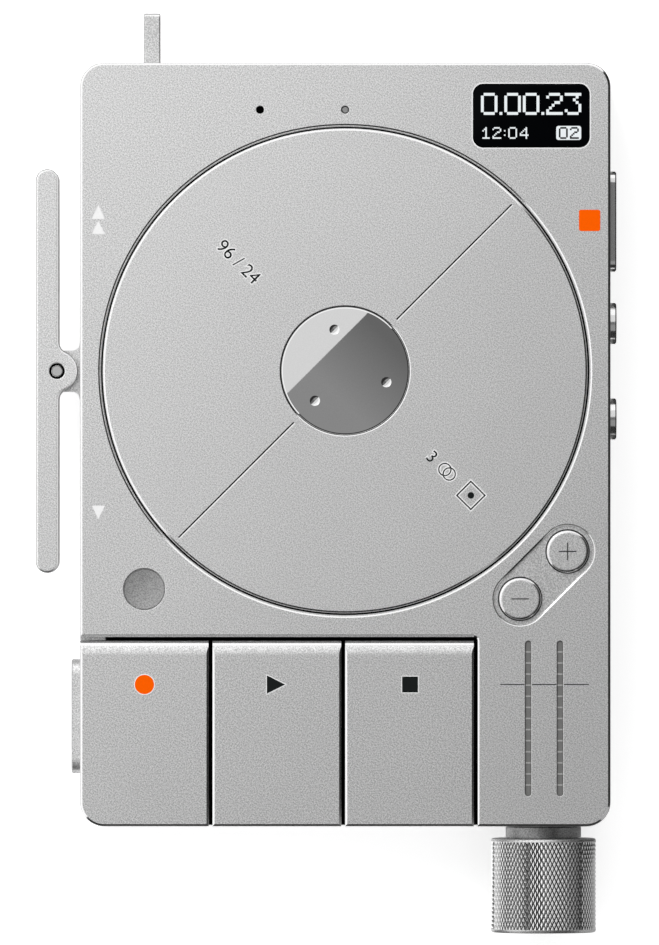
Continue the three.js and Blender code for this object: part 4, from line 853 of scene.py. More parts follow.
def frameMark():
    # A square outline stood on its corner, with a plain dot in it; a wider white square under the
    # outline is a painted highlight
    x, y = markSize["square"]
    for name, (out, wide), face, ink in (
            ("squareEdge", markSize["squareRim"], front - inkSize["under"], whiteInk),
            ("squareMark", markSize["squareLine"], front, blackInk)):
        hole = out - wide
        outer, inner = (turned(boxOutline(-s, s, -s, s), 45, x, y) for s in (out, hole))
        square = plainStack(name, outer, face, face + inkSize["thick"])
        carve(square, plainStack("squareHole", inner, front - 0.1, front + 0.1))
        finishPiece(square, ink, "reel", "black_plastic")
    inkPlate("squareDot", circleOutline(x, y, markSize["dot"], 32), front, "reel", blackInk)


reelDisc()
shadeRing("hubSeal", 0, 0, hubSize["radius"] + 0.01, reelSize["hubHole"] + 0.01, 15.3, "reel")
hubCap()
reelMarks()
print("reel made")


class Recipe(NodeSheet):
    # A geometry node tree with named inputs for its sizes
    def __init__(self, name):
        super().__init__(bpy.data.node_groups.new(name, "GeometryNodeTree"))
        for way in ("INPUT", "OUTPUT"):
            self.tree.interface.new_socket(name="Geometry", in_out=way,
                                           socket_type="NodeSocketGeometry")
        self.entry = self.tree.nodes.new("NodeGroupInput")
        self.places = {}

    def size(self, name, kind="Float"):
        made = self.tree.interface.new_socket(name=name, in_out="INPUT",
                                              socket_type="NodeSocket" + kind)
        self.places[name] = made.identifier
        return Signal(self, self.entry.outputs[name])

    def whole(self):
        return Signal(self, self.entry.outputs["Geometry"])

    def vector(self, x, y, z):
        return self.node("ShaderNodeCombineXYZ", None, {0: x, 1: y, 2: z})

    def spread(self, points, shape, values=None):
        return self.node("GeometryNodeInstanceOnPoints", None,
                         {"Points": points, "Instance": shape, **(values or {})})

    def end(self, shape):
        # Instances become real faces and take the finish named in the modifier
        real = self.node("GeometryNodeRealizeInstances", None, {0: shape})
        paint = self.size("Finish", "Material")
        done = self.node("GeometryNodeSetMaterial", None, {"Geometry": real, "Material": paint})
        self.node("NodeGroupOutput", None, {"Geometry": done})
        return self

    def applyTo(self, piece, **values):
        step = piece.modifiers.new(self.tree.name, "NODES")
        step.node_group = self.tree
        for name, value in values.items():
            step[self.places[name]] = value
        return settle(piece)


def knurlRecipe():
    # Rows of small pyramids set round a bar, each row half a pitch on from the last
    recipe = Recipe("knurl")
    columns, rows = recipe.size("Columns", "Int"), recipe.size("Rows", "Int")
    radius, depth, start, pitch, tip, groove, centreX, centreZ = (
        recipe.size(name) for name in ("Radius", "Depth", "Start", "Pitch", "Tip", "Groove",
                                       "CentreX", "CentreZ"))
    index = recipe.node("GeometryNodeInputIndex")
    row = recipe.maths("FLOOR", index / columns)
    column = index - row * columns
    step = 2 * math.pi / columns
    angle = (column + recipe.maths("MODULO", row, 2.0) * 0.5) * step
    outX, outZ = recipe.maths("SINE", angle), recipe.maths("COSINE", angle)
    low = radius - depth
    where = recipe.vector(centreX + outX * low, start + (row + 1) * pitch * 0.5,
                          centreZ + outZ * low)
    points = recipe.node("GeometryNodePoints", None, {"Count": columns * rows, "Position": where})
    pyramid = recipe.node("GeometryNodeMeshCone", {"fill_type": "NGON"},
                          {"Vertices": 4, "Radius Top": tip, "Radius Bottom": 1.0, "Depth": 1.0})
    across = low * step * 0.5
    sized = recipe.node("GeometryNodeTransform", None,
                        {"Geometry": pyramid,
                         "Scale": recipe.vector(across - groove, pitch * 0.5 - groove, depth)})
    out = recipe.vector(outX, 0.0, outZ)
    facing = recipe.node("FunctionNodeAxesToRotation", {"primary_axis": "Z", "secondary_axis": "Y"},
                         {"Primary Axis": out, "Secondary Axis": (0, 1, 0)})
    return recipe.end(recipe.spread(points, sized, {"Rotation": facing}))


def scatterRecipe():
    # One copied shape on every vertex of the host
    recipe = Recipe("scatter")
    shape = recipe.size("Shape", "Object")
    info = recipe.node("GeometryNodeObjectInfo", None, {"Object": shape}, out="Geometry")
    return recipe.end(recipe.spread(recipe.whole(), info))


def rowRecipe():
    # Blocks at an even pitch along Y
    recipe = Recipe("row")
    count, pitch = recipe.size("Count", "Int"), recipe.size("Pitch")
    first, block = recipe.size("First", "Vector"), recipe.size("Block", "Vector")
    line = recipe.node("GeometryNodeMeshLine", None,
                       {"Count": count, "Start Location": first,
                        "Offset": recipe.vector(0.0, pitch, 0.0)})
    cube = recipe.node("GeometryNodeMeshCube", None, {"Size": block})
    return recipe.end(recipe.spread(line, cube))


knurl, scatter, evenRow = knurlRecipe(), scatterRecipe(), rowRecipe()


def emptyHost(name, points=((0, 0, 0),)):
    mesh = bpy.data.meshes.new(name)
    mesh.from_pydata([Vector(p) for p in points], [], [])
    return linked(name, mesh)


adapterSize = dict(x=portSize["output"], shellTop=-60.05, shellBottom=-72.15, radius=6.76,
                   depth=0.11, columns=78, rowPitch=1.11, rows=21, groove=0.055, tip=0.05,
                   wall=2.0, bore=3.2, plug=3.175, contact=2.925, contacts=(-38.0, -43.2),
                   collar=((0.32, 0.0), (0.09, 0.09), (0.0, 0.32), (0.0, 0.42)))


def adapterShell():
    # The sleeve's core is painted near black in the grooves, as shade, and its grains are cut proud
    # of it
    size = adapterSize
    low, high, bore = size["shellBottom"], size["shellTop"], size["bore"]
    core, wall = size["radius"] - size["depth"], size["radius"] - size["wall"]
    for name, end, inward, inner in (("lowerCollar", low, 1, bore),
                                     ("upperCollar", high, -1, wall)):
        profile = [(inner, end)]
        profile += [(size["radius"] - inset, end + along * inward)
                    for inset, along in size["collar"]]
        profile.append((inner, profile[-1][1]))
        collar = turnedPiece(name, profile, middle, size["x"], "Y", 160, closed=True)
        finishPiece(collar, leverMetal, "adapter", "satin_aluminium")
    profile = [(bore, low + 0.1), (core, low + 0.1), (core, high - 0.1), (wall, high - 0.1),
               (wall, low + 2.2), (bore, low + 2.2)]
    sleeve = turnedPiece("sleeveCore", profile, middle, size["x"], "Y", 160, closed=True)
    finishPiece(sleeve, grooveMetal, "adapter", "satin_aluminium", "adapter_shell")
    grains = knurl.applyTo(emptyHost("knurlGrains"), Columns=size["columns"], Rows=size["rows"],
                           Radius=size["radius"] - 0.02, Depth=size["depth"], Start=low - 0.04,
                           Pitch=size["rowPitch"], Groove=size["groove"], Tip=size["tip"],
                           CentreX=size["x"], CentreZ=middle, Finish=knurlMetal)
    return finishPiece(grains, knurlMetal, "adapter", "satin_aluminium")


def adapterPlug():
    # The tip, two rings that part the contacts, and a neck that carries the sleeve
    size = adapterSize
    radius, groove, bore = size["plug"], size["contact"], size["bore"]
    profile = [(0, -28.4), (1.05, -28.4), (2.3, -29.2), (2.9, -30.6), (2.1, -32.8), (radius, -33.6)]
    for y in size["contacts"]:
        profile += [(radius, y), (groove, y), (groove, y - 0.8), (radius, y - 0.8)]
    profile += [(radius, -58.55), (4.75, -58.55), (4.85, -58.65), (4.85, -59.9), (4.46, -59.9),
                (4.46, -69.65), (bore, -69.65), (bore, -61.55), (0, -61.55)]
    plug = turnedPiece("plugBody", profile, middle, size["x"], "Y")
    return finishPiece(plug, neckMetal, "adapter", "steel", "adapter_plug")


def adapterSocket():
    profile = [(0, -62), (2.9, -62), (2.9, -71.75), (2.8, -71.85), (1.9, -71.85), (1.8, -71.75),
               (1.8, -63.8), (0, -63.8)]
    socket = turnedPiece("adapterSocket", profile, middle, adapterSize["x"], "Y", 64)
    return finishPiece(socket, portPlastic, "adapter", "black_plastic", "adapter_jack")


adapterShell()
adapterPlug()
adapterSocket()
print("adapter made")


keySize = dict(places=baySize["keys"], width=16.48, under=9.6, face=front, edge=-34.62, brow=1.85,
               fall=1.25, start=28, side=0.26, wall=1.2, ceiling=14.6, marks=-40.19,
               webs=(-5, 5), webHalf=0.6, webEnd=-40.22, webTop=15.3,
               press=-49.22, pressRadius=1.2, pressLow=12.4)


def keyPiece(name, x, node):
    size = keySize
    x0, x1 = x - size["width"] / 2, x + size["width"] / 2
    bottom = caseSize["bottom"]
    # Drawn from the side: a rounded brow at the upper end
    side = [(bottom - 1, size["under"]), (size["edge"], size["under"])]
    near = math.cos(math.radians(size["start"]))
    side += [(size["edge"] - size["brow"] * (1 - c / near), size["face"] - size["fall"] * (1 - s))
             for c, s in arcPoints(0, 0, 1, size["start"], 90, 16)]
    side.append((bottom - 1, size["face"]))
    key = plainStack(name, side, x0, x1, "X")
    # Drawn from the end: the two long edges are bevelled
    low, high = size["under"], size["face"]
    bevel = bevelEdge(high, size["side"])
    end = ([(low, x0)] + [(z, x0 + inset) for inset, z in bevel]
           + [(z, x1 - inset) for inset, z in reversed(bevel)] + [(low, x1)])
    shared(key, plainStack("keyEnd", end, bottom - 2, size["edge"] + 1, "Y"))
    shared(key, caseBlank("keyOutline", low - 1, high))
    hollow = roundedOutline(x0 + size["wall"], x1 - size["wall"], bottom + size["wall"],
                            size["edge"] - size["wall"], 1.9, 6)
    carve(key, plainStack("keyHollow", hollow, low - 2, size["ceiling"]))
    half, top = size["webHalf"], size["webTop"]
    webs = [boxPiece("web", x + off - half, x + off + half, size["webEnd"], size["edge"] - half,
                     low, top) for off in size["webs"]]
    added(key, rodPiece("press", x, size["press"], size["pressRadius"], size["pressLow"], top, 24),
          *webs)
    carve(key, rodPiece("keyBore", *baySize["axle"], baySize["axleBore"], -32.2, 14.7, 24, "X"))
    return milledPiece(key, keyMetal, node, node)


def keyMarks():
    # Each outline can grow, to give its mark a white rim, which is a painted highlight
    y = keySize["marks"]
    marks = (
        ("recordDot", "record_key", orangeInk, lambda r: circleOutline(-25.73, y, 1.24 + r, 72)),
        ("playMark", "play_key", blackInk,
         lambda r: [(-10.04 - r, y - 1.18 - 1.6 * r), (-7.68 + 2.2 * r, y),
                    (-10.04 - r, y + 1.18 + 1.6 * r)]),
        ("stopMark", "stop_key", blackInk,
         lambda r: boxOutline(7.29 - r, 9.33 + r, y - 1.02 - r, y + 1.02 + r)))
    for name, body, ink, outlineAt in marks:
        inkPlate(name + "Edge", outlineAt(0.1), front - inkSize["under"], body, whiteInk)
        inkPlate(name, outlineAt(0), front, body, ink)


for name, x in zip(("record", "play", "stop"), keySize["places"]):
    keyPiece(name + "KeyTop", x, name + "_key")
keyMarks()
print("keys made")


def volumeButton(name, place, node):
    size = volumeSize
    r, top = size["radius"], front + size["proud"]
    profile = [(0, 13.5), (0.8, 13.5), (0.8, 13.7), (3.2, 13.7), (3.2, 14.1), (r, 14.1)]
    profile += [(r - inset, top - drop) for inset, drop in size["brow"]] + [(0, top)]
    return milledPiece(turnedPiece(name, profile, *place), faceMetal, node, node)


def volumeMarks():
    top, half, thin = front + volumeSize["proud"], 1.115, 0.075
    for sign in ("plus", "minus"):
        x, y = volumeSize[sign]
        bar = boxOutline(x - half, x + half, y - thin, y + thin)
        inkPlate(sign + "Bar", bar, top, sign + "_button", greyInk)
    x, y = volumeSize["plus"]
    stem = boxOutline(x - thin, x + thin, y - half, y + half)
    inkPlate("plusStem", stem, top + 0.001, "plus_button", greyInk)


def levelMeter(name, x, node):
    size, slack = meterSize, 0.05
    r, top = size["radius"] - slack, front - size["sink"] - slack
    low, high = size["bottom"] + slack, size["top"] - slack
    bar = plainStack(name, pillOutline((x, low + r), (x, high - r), r, 12), 13.7, top)
    added(bar, boxPiece("meterFoot", x - 0.9, x + 0.9, low + 0.25, high - 0.25, 13.3, 14.1))
    finishPiece(bar, meterPlastic, "case", "smoked_plastic", node)
    pitch = (size["top"] - size["bottom"]) / size["count"]
    ribs = emptyHost(name + "Ribs")
    evenRow.applyTo(ribs, Count=size["count"] - 1, Pitch=pitch,
                    First=(x, size["bottom"] + pitch, top),
                    Block=(r * 2, size["ribWidth"], 0.12), Finish=ribPlastic)
    finishPiece(ribs, ribPlastic, "case", "smoked_plastic")


def calibrationLine():
    y, half = keySize["marks"], 0.06
    for name, x0, x1 in (("lineLeft", 19.87, 22.98), ("lineMiddle", 23.94, 27.06),
                         ("lineRight", 28.02, 31.24)):
        inkPlate(name, boxOutline(x0, x1, y - half, y + half), front, "case", blackInk)


def smallParts():
    size, radius = holeSize, 2.52
    dish = [(0, 15.4), (radius, 15.4), (radius, 15.85)]
    dish += [(radius * (1 - i / 12), 15.7 + 0.15 * (1 - i / 12) ** 2) for i in range(1, 13)]
    cover = turnedPiece("speakerDish", dish, size["speakerX"], size["speakerY"])
    finishPiece(cover, dishMetal, "case", "grey_mesh", "speaker_cover")
    light = [(0, 5.3), (0.39, 5.3), (0.39, 15.85), (0.3, 15.93), (0, 15.95)]
    guide = turnedPiece("lightGuide", light, 0, size["y"], sides=32)
    finishPiece(guide, lampPlastic, "case", "smoked_plastic", "status_light")


def glyphDots(strokes):
    # Dots of a display grid that lie along the strokes of a sign
    dots = set()
    for (ax, ay), (bx, by) in strokes:
        steps = max(abs(bx - ax), abs(by - ay), 1)
        for i in range(steps + 1):
            dots.add((round(ax + (bx - ax) * i / steps), round(ay + (by - ay) * i / steps)))
    return dots


figures = {  # strokes on a grid six dots wide and eight high
    "0": [((1, 0), (4, 0)), ((5, 1), (5, 6)), ((4, 7), (1, 7)), ((0, 6), (0, 1))],
    "1": [((1, 5), (3, 7)), ((3, 7), (3, 0)), ((1, 0), (5, 0))],
    "2": [((0, 6), (0, 6)), ((1, 7), (4, 7)), ((5, 6), (5, 5)), ((4, 4), (3, 4)), ((2, 3), (0, 1)),
          ((0, 0), (5, 0))],
    "3": [((0, 7), (5, 7)), ((4, 6), (3, 5)), ((4, 4), (4, 4)), ((5, 3), (5, 1)), ((4, 0), (1, 0)),
          ((0, 1), (0, 1))],
    "4": [((4, 0), (4, 7)), ((4, 7), (0, 3)), ((0, 2), (5, 2))],
    ".": [((0, 0), (0, 0))],
    ":": [((0, 2), (0, 2)), ((0, 5), (0, 5))],
}
figureWidth = {".": 1, ":": 1}


displaySize = dict(left=17.4, right=30.24, time=32.81, row=29.74, unit=0.35, gap=0.274,
                   smallUnit=0.186, smallGap=0.36, face=15.95, slack=0.15, highlightRim=0.14)


def displayWords(words, left, bottom, unit, gap):
    # Dot places of a row of figures, in millimetres
    places, x = [], left
    for sign in words:
        for u, v in sorted(glyphDots(figures[sign])):
            places.append((x + (u + 0.5) * unit, bottom + (v + 0.5) * unit))
        x += figureWidth.get(sign, 6) * unit + gap
    return places


def dotField(name, places, size, z, ink):
    dot = boxPiece("dotShape", -size / 2, size / 2, -size / 2, size / 2, 0, 0.01)
    host = emptyHost(name, [(x, y, z) for x, y in places])
    scatter.applyTo(host, Shape=dot, Finish=ink)
    bpy.data.objects.remove(dot)
    return finishPiece(host, ink, "case", "black_glass")


def displayWindow():
    size = displaySize
    top, left, right, row = size["face"], size["left"], size["right"], size["row"]
    unit, small, gap = size["unit"], size["smallUnit"], size["smallGap"]
    rings = [(windowOutline(size["slack"]), 14.55)]
    rings += [(windowOutline(size["slack"] + inset), z) for inset, z in roundEdge(top, 0.12)]
    pane = stackPiece("displayPane", rings)
    finishPiece(pane, displayGlass, "case", "black_glass", "display_window")
    # A thin white ring round the window is a painted highlight of its edge
    highlightRim = plainStack("displayBezel", windowOutline(-size["highlightRim"]), front - 0.01, front + 0.008)
    carve(highlightRim, plainStack("bezelHole", windowOutline(), front - 0.1, front + 0.1))
    finishPiece(highlightRim, whiteInk, "case", "satin_aluminium")
    dotField("timeFigures", displayWords("0.00.23", left, size["time"], unit, size["gap"]),
             unit * 1.03, top, displayLight)
    dotField("smallFigures", displayWords("12:04", left, row, small, gap), small, top, displayLight)
    badge = roundedOutline(right - 3.2, right, row - 0.15, row + 1.65, 0.3, 4)
    inkPlate("trackBadge", badge, top, "case", displayLight, "black_glass", 0.01)
    dotField("trackFigures", displayWords("02", right - 2.85, row, small, gap - 0.06),
             small * 1.2, top + 0.01, blackInk)


caseMarkSize = dict(arrowX=-31.63, arrow=0.85, badge=(31.32, 19.28), badgeHalf=1.37, corner=0.28,
                    upper=(19.47, 21.27), lower=(17.53, 19.23), down=(-17.28, -18.99))


def caseMarks():
    size = caseMarkSize
    x, half = size["arrowX"], size["arrow"]
    for name in ("upper", "lower", "down"):
        base, tip = size[name]
        points = [(x - half, base), (x + half, base), (x, tip)]
        inkPlate(name + "Arrow", points if tip > base else points[::-1], front, "case", whiteInk)
    (x, y), half = size["badge"], size["badgeHalf"]
    badge = roundedOutline(x - half, x + half, y - half, y + half, size["corner"], 5)
    inkPlate("modeBadge", badge, front, "case", orangeInk)


for sign in ("plus", "minus"):
    volumeButton(sign + "Top", volumeSize[sign], sign + "_button")
volumeMarks()
for sign in ("plus", "minus"):
    rim = volumeSize["radius"] + 0.01
    shadeRing(sign + "Seal", *volumeSize[sign], rim, rim + volumeSize["gap"], 14.9)
for side, x in zip(("left", "right"), meterSize["places"]):
    levelMeter(side + "Level", x, side + "_meter")
calibrationLine()
smallParts()
displayWindow()
caseMarks()
print("front details made")


leverSize = dict(right=-36.76, width=3.0, half=25.95, ear=2.68, pivot=-37.03, fillet=1.3,
                 low=4.8, high=11.2, edge=0.35, bore=1.0, slot=2.0, slotLow=6.7, slotHigh=10.2)
bracketSize = dict(wall=-34.15, flare=0.95, shoulder=0.45, half=2.65, bow=1.7, root=3.6, bore=1.0,
                   low=7.0, high=9.0, neckEnd=-31.6)
pinSize = dict(radius=0.7, low=5.15, high=10.85, edge=0.1, dish=0.14)


def leverOutline(inset=0.0):
    size = leverSize
    radius = size["width"] / 2
    x, end = size["right"] - radius, size["half"] - radius
    filletX = size["right"] + size["fillet"]
    filletY = math.sqrt((size["ear"] + size["fillet"]) ** 2 - (filletX - size["pivot"]) ** 2)
    turn = math.degrees(math.atan2(filletY, filletX - size["pivot"]))
    return (arcPoints(x, -end, radius - inset, 180, 360, 24)
            + arcPoints(filletX, -filletY, size["fillet"] + inset, 180, 180 - turn, 10)
            + arcPoints(size["pivot"], 0, size["ear"] - inset, -turn, turn, 32)
            + arcPoints(filletX, filletY, size["fillet"] + inset, 180 + turn, 180, 10)
            + arcPoints(x, end, radius - inset, 0, 180, 24))


def rockerLever():
    size = leverSize
    levels = roundEdge(size["high"], size["edge"])
    rings = [(leverOutline(inset), size["low"] + size["high"] - z) for inset, z in reversed(levels)]
    rings += [(leverOutline(inset), z) for inset, z in levels]
    lever = stackPiece("rockerBar", rings)
    px, slot, low, high = (size[name] for name in ("pivot", "slot", "slotLow", "slotHigh"))
    carve(lever,
          rodPiece("slotRound", px, 0, slot, low, high, 48),
          boxPiece("slotBox", px, size["right"] + 1, -slot, slot, low, high),
          boxPiece("slotWide", size["right"], -34, -5, 5, low, high),
          rimCutter("pinHole", lambda inset: circleOutline(px, 0, size["bore"] - inset, 48),
                    4, size["high"], 0.16))
    return milledPiece(lever, leverMetal, "rocker", "rocker_lever")


def rockerBracket():
    size, px = bracketSize, leverSize["pivot"]
    wall, flare, half, bow, root, low, high = (
        size[name] for name in ("wall", "flare", "half", "bow", "root", "low", "high"))
    shoulder = leverSize["right"] + size["shoulder"]
    outline = ([(wall, -root), (wall, root)] + arcPoints(wall - flare, root, flare, 0, -90, 10)
               + [(shoulder, half), (shoulder, bow)] + arcPoints(px, 0, bow, 90, 270, 24)
               + [(shoulder, -bow), (shoulder, -half)]
               + arcPoints(wall - flare, -root, flare, 90, 0, 10))
    tongue = plainStack("rockerFork", outline, low, high)
    added(tongue, boxPiece("neck", wall - 0.5, size["neckEnd"], -half, half, low, high),
          boxPiece("foot", -32.1, -31.1, -5, 5, low - 1, high + 1))
    carve(tongue, rodPiece("forkBore", px, 0, size["bore"], low - 2, high + 2, 48))
    return milledPiece(tongue, leverMetal, "case", "rocker_bracket")


def pivotPin():
    # Its head is dished a little
    radius, low, high, edge, dish = (
        pinSize[name] for name in ("radius", "low", "high", "edge", "dish"))
    profile = [(0, low), (radius - edge, low), (radius, low + edge), (radius, high - edge),
               (0.64, high - 0.02), (radius - edge, high), (0.56, high), (0.0, high - dish)]
    pin = turnedPiece("pivotHead", profile, leverSize["pivot"], 0, sides=64)
    return finishPiece(pin, pinMetal, "case", "steel", "rocker_pivot")


rockerLever()
rockerBracket()
pivotPin()
shadeRing("pivotSeal", leverSize["pivot"], 0, 0.72, leverSize["bore"] + 0.01, 10.7, "rocker")
print("rocker made")


def sideCap(name, outlineAt, flangeOutline, outer, node, side=1, paint=edgeMetal):
    size = sideSize
    rings = [(outlineAt(0), side * size["inner"])]
    rings += [(outlineAt(inset), side * x) for inset, x in bevelEdge(outer, size["bevel"])]
    cap = stackPiece(name, rings, "X")
    ends = sorted((side * size["inner"], side * size["flange"]))
    added(cap, plainStack("flange", flangeOutline, *ends, "X"))
    return finishPiece(cap, paint, node, "satin_aluminium", node)


def sideButtons():
    size = sideSize
    memo, left = size["memo"], size["left"]
    sideCap("memoCap", lambda inset: pillOutline(*memo, size["memoCap"] - inset),
            pillOutline(*memo, size["memoFlange"]), size["rightOut"], "memo_button")
    for name, y in zip(("upper", "lower"), size["rounds"]):
        disc = lambda inset, y=y: circleOutline(y, middle, size["roundCap"] - inset, 96)
        sideCap(name + "Cap", disc, circleOutline(y, middle, size["roundFlange"], 96),
                size["rightOut"], name + "_side_button")
    sideCap("leftCap", lambda inset: pillOutline(*left, size["leftCap"] - inset),
            pillOutline(*left, size["leftFlange"]), size["leftOut"], "left_button", -1, leverMetal)


toggleSize = dict(left=-25.9, right=-23.75, low=34.2, high=46.0, half=1.3, tip=0.5, bevel=0.2)


def toggle():
    # A steel tongue that stands out of the top edge
    size, tip = toggleSize, toggleSize["tip"]
    half, y = size["half"] - tip, size["high"] - tip
    outline = ([(middle - size["half"], size["low"]), (middle + size["half"], size["low"])]
               + arcPoints(middle + half, y, tip, 0, 90, 8)
               + arcPoints(middle - half, y, tip, 90, 180, 8))
    side = [(v, u) for u, v in outline][::-1]
    tongue = plainStack("powerTongue", side, size["left"], size["right"], "X")
    step = tongue.modifiers.new("soften", "BEVEL")
    step.width = size["bevel"]
    step.segments = 3
    step.limit_method = "ANGLE"
    step.angle_limit = math.radians(50)
    settle(tongue)
    return milledPiece(tongue, toggleMetal, "power", "power_lever")


# Radius of a socket, and how far below the case's top edge
jackProfile = ((1.8, 11), (1.8, 0.25), (1.9, 0.15), (2.35, 0.15), (2.45, 0.25), (2.45, 2.2),
               (2.9, 2.2), (2.9, 14.1), (0, 14.1), (0, 11))


def jackRow():
    nose = [(radius, caseSize["top"] - deep) for radius, deep in jackProfile]
    shape = turnedPiece("jackShape", nose, 0, 0, "Y", 48)
    host = emptyHost("jackRow", [(x, 0, middle) for x in portSize["jacks"]])
    scatter.applyTo(host, Shape=shape, Finish=portPlastic)
    bpy.data.objects.remove(shape)
    return finishPiece(host, portPlastic, "case", "black_plastic", "jack_1", "jack_2", "jack_3")


def coverScrews():
    size = screwSize
    shank, head, low = size["shank"], size["head"], 0.08
    profile = [(0, size["length"]), (shank, size["length"]), (shank, size["headHeight"]),
               (head, size["headHeight"]), (head, 0.2), (head - 0.12, low), (0, low)]
    shape = turnedPiece("screwShape", profile, 0, 0, sides=48)
    carve(shape, rodPiece("hexSocket", 0, 0, size["socket"], -1, 0.5, 6))
    host = emptyHost("coverScrews", [(x, y, 0) for x, y in size["places"]])
    scatter.applyTo(host, Shape=shape, Finish=springSteel)
    bpy.data.objects.remove(shape)
    nodes = [f"cover_screw_{i}" for i in range(1, 5)]
    return finishPiece(host, springSteel, "case", "steel", *nodes)


sideButtons()
toggle()
jackRow()
coverScrews()
print("edge details made")


# Nodes that keep the solids' own meshes, and their finishes
nodeFinish = {
    "motor_shaft": springSteel, "motor_rotor": springSteel, "reel_bearing": springSteel,
    # The microphone seen through its hole gets the black of painted shade, so that the hole reads
    # dark
    "motor_stator": coilCopper, "display_module": portPlastic, "microphone": blackFelt,
    "speaker": portPlastic, "control_board": boardGreen, "key_axle": springSteel,
    "key_board": boardGreen, "key_spring": springSteel, "rocker_spring": springSteel,
    "rocker_sensor": boardGreen, "side_board": boardGreen, "left_board": boardGreen,
    "power_switch": portPlastic, "data_socket": springSteel, "main_board": boardGreen,
    "battery": batteryFoil, "output_socket": portPlastic,
}
for node, paint in nodeFinish.items():
    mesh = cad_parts[node].data
    mesh.materials.clear()
    mesh.materials.append(paint)


# Millimetres and levels of light
studioSize = dict(floor=3000, reach=650, height=340, step=40, far=240, length=2400, edge=12.4,
                  sky=0.77, bright=1.12, near=1.1, dull=0.42, dark=0.03, card=0.25, slope=0.004,
                  lit=600, shade=-600, fill=0.62, key=4.14, keyWidth=602,
                  keyPlace=(-361, 447, 533), keyTarget=(0, -10, 10))


def studioFloor():
    sheet = Sheet("floorPaper")
    fibre = sheet.noise(40.0, 3.0)
    paper = sheet.node("ShaderNodeBsdfDiffuse", None,
                       {"Color": sheet.blend(fibre, grey(0.88), grey(0.9))})
    glow = sheet.node("ShaderNodeEmission", None, {"Color": grey(1.0), "Strength": 0.6})
    seen = sheet.node("ShaderNodeLightPath", out="Is Camera Ray")
    lift = sheet.node("ShaderNodeMixShader", None, {0: seen, 2: glow})
    sheet.output(sheet.node("ShaderNodeAddShader", None, {0: paper, 1: lift}))
    wide = studioSize["floor"]
    floor = plainStack("studioFloor", boxOutline(-wide, wide, -wide, wide), -4.0, -0.02)
    floor.data.transform(Matrix.Scale(metre, 4))
    floor.data.materials.append(sheet.material)


def reflector(name, corners, level, slope=0.0):
    # A card that only reflections see, whose level may fall toward its upper right
    sheet = Sheet(name + "Card")
    colour = grey(level)
    if slope:
        lean = slope / metre / math.sqrt(2)
        run = sheet.node("ShaderNodeVectorMath", {"operation": "DOT_PRODUCT"},
                         {0: sheet.place(), 1: (lean, lean, 0)}, out="Value")
        colour = level - sheet.maths("MAXIMUM", sheet.maths("MINIMUM", run, 0.1), -0.035)
    sheet.output(sheet.node("ShaderNodeEmission", None, {"Color": colour, "Strength": 1.0}))
    mesh = bpy.data.meshes.new(name)
    mesh.from_pydata([Vector(c) * metre for c in corners], [], [tuple(range(len(corners)))])
    card = linked(name, mesh)
    mesh.materials.append(sheet.material)
    card.visible_camera = False
    card.visible_diffuse = False
    card.visible_shadow = False
    card.visible_transmission = False


def wallCard(name, x0, y0, x1, y1, low, high, level):
    reflector(name, [(x0, y0, low), (x1, y1, low), (x1, y1, high), (x0, y0, high)], level)


def tableCard(name, x0, x1, y0, y1, level):
    reflector(name, [(x, y, 0.02) for x, y in boxOutline(x0, x1, y0, y1)], level)


def slantCard(name, side, start, high, level, slope=0.0):
    # Half a ceiling, to the lower right or upper left of a slanting line
    along = Vector((1, 1, 0)).normalized() * studioSize["length"]
    out = Vector((1, -1, 0)).normalized() * side
    near, far = out * start, out * studioSize["length"]
    corners = [near - along, near + along, far + along, far - along]
    reflector(name, [(p.x, p.y, high) for p in corners], level, slope)


def studioCards():
    # Bright walls at the left and top, dark ones at the right and bottom, and a ceiling that is
    # dark over the lower right half, whose edge the hub shows as a slanting line
    size = studioSize
    reach, high, step = size["reach"], size["height"], size["step"]
    lit, shade = size["lit"], size["shade"]
    walls = (("left", -reach, shade, -reach, reach), ("top", -reach, reach, reach, reach),
             ("corner", reach, reach, reach, lit))
    for name, x0, y0, x1, y1 in walls:
        wallCard(name + "Wall", x0, y0, x1, y1, step, high, size["bright"])
        wallCard(name + "Foot", x0, y0, x1, y1, 0, step, size["dull"])
    wallCard("leftShade", -reach, -reach, -reach, shade, 0, high, size["dark"])
    wallCard("rightShade", reach, -reach, reach, lit, 0, high, size["dark"])
    wallCard("bottomShade", -reach, -reach, reach, -reach, 0, high, size["dark"])
    # On the table, split where the case and the adapter stand
    side, foot, end = 34.5, -59, 17
    for name, x0, x1, y0, y1, level in (
            ("leftTable", -reach, -side, foot, reach, "dull"),
            ("topTable", -side, side, 40, reach, "dull"),
            ("rightTable", side, reach, foot, reach, "dark"),
            ("bottomTable", -reach, end, -reach, -75, "dark"),
            ("cornerTable", end, side, -reach, -73, "dark"),
            ("adapterTable", -reach, end, -75, foot, "near"),
            ("edgeTable", side, reach, -reach, foot, "dull")):
        tableCard(name, x0, x1, y0, y1, size[level])
    wallCard("adapterWall", 48, -76, 48, foot, 0, 34, size["dull"])
    slantCard("ceiling", 1, -size["edge"], high, size["card"], size["slope"])
    slantCard("sky", -1, size["edge"], high, size["sky"])
    slantCard("farShade", 1, size["far"], high - 4, size["dark"])
    slantCard("farSky", -1, size["far"], high - 4, size["bright"])


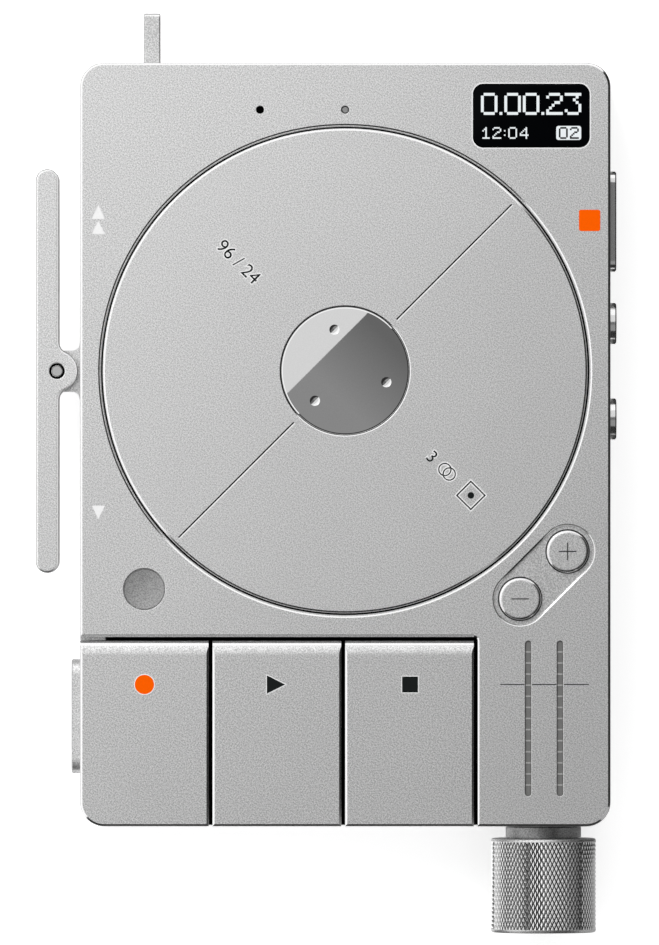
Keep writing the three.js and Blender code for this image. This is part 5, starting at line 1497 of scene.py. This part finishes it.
def softbox(name, place, target, width, power):
    lamp = bpy.data.lights.new(name, "AREA")
    lamp.shape = "SQUARE"
    lamp.size = width * metre
    lamp.energy = power
    holder = bpy.data.objects.new(name, lamp)
    bpy.context.scene.collection.objects.link(holder)
    holder.location = Vector(place) * metre
    holder.rotation_euler = (Vector(target) - Vector(place)).to_track_quat("-Z", "Y").to_euler()


def studioWorld():
    # White to the camera, metal and glass, and an even fill to everything else
    world = bpy.data.worlds.new("studio")
    world.use_nodes = True
    bpy.context.scene.world = world
    sheet = NodeSheet(world.node_tree)
    seen = 0.0
    for ray in ("Is Camera Ray", "Is Glossy Ray", "Is Transmission Ray"):
        seen = sheet.maths("MAXIMUM", seen, sheet.node("ShaderNodeLightPath", out=ray))
    white, fill = (sheet.node("ShaderNodeBackground", None, {"Color": grey(1.0), "Strength": level})
                   for level in (1.0, studioSize["fill"]))
    mix = sheet.node("ShaderNodeMixShader", None, {0: seen, 1: fill, 2: white})
    sheet.node("ShaderNodeOutputWorld", None, {"Surface": mix})


cameraSize = dict(pixel=7.8, wide=659, high=945, zeroX=345.2, zeroY=370.9, lens=600.0, sensor=36.0,
                  level=15.0)


def studioCamera():
    # Straight above, with a lens so long that the sides hardly show
    size = cameraSize
    data = bpy.data.cameras.new("camera")
    data.sensor_width = size["sensor"]
    data.lens = size["lens"]
    data.clip_start, data.clip_end = 0.01, 20.0
    camera = bpy.data.objects.new("camera", data)
    bpy.context.scene.collection.objects.link(camera)
    across = (size["wide"] / 2 - size["zeroX"]) / size["pixel"]
    up = (size["zeroY"] - size["high"] / 2) / size["pixel"]
    distance = size["lens"] / size["sensor"] * size["high"] / size["pixel"]
    camera.location = Vector((across, up, size["level"] + distance)) * metre
    bpy.context.scene.camera = camera


studioFloor()
studioWorld()
studioCards()
softbox("keySoftbox", studioSize["keyPlace"], studioSize["keyTarget"], studioSize["keyWidth"],
        studioSize["key"])
studioCamera()
bpy.context.scene.view_settings.view_transform = "Standard"

for leftover in [m for m in bpy.data.meshes if m.users == 0]:
    bpy.data.meshes.remove(leftover)
print("scene ready")
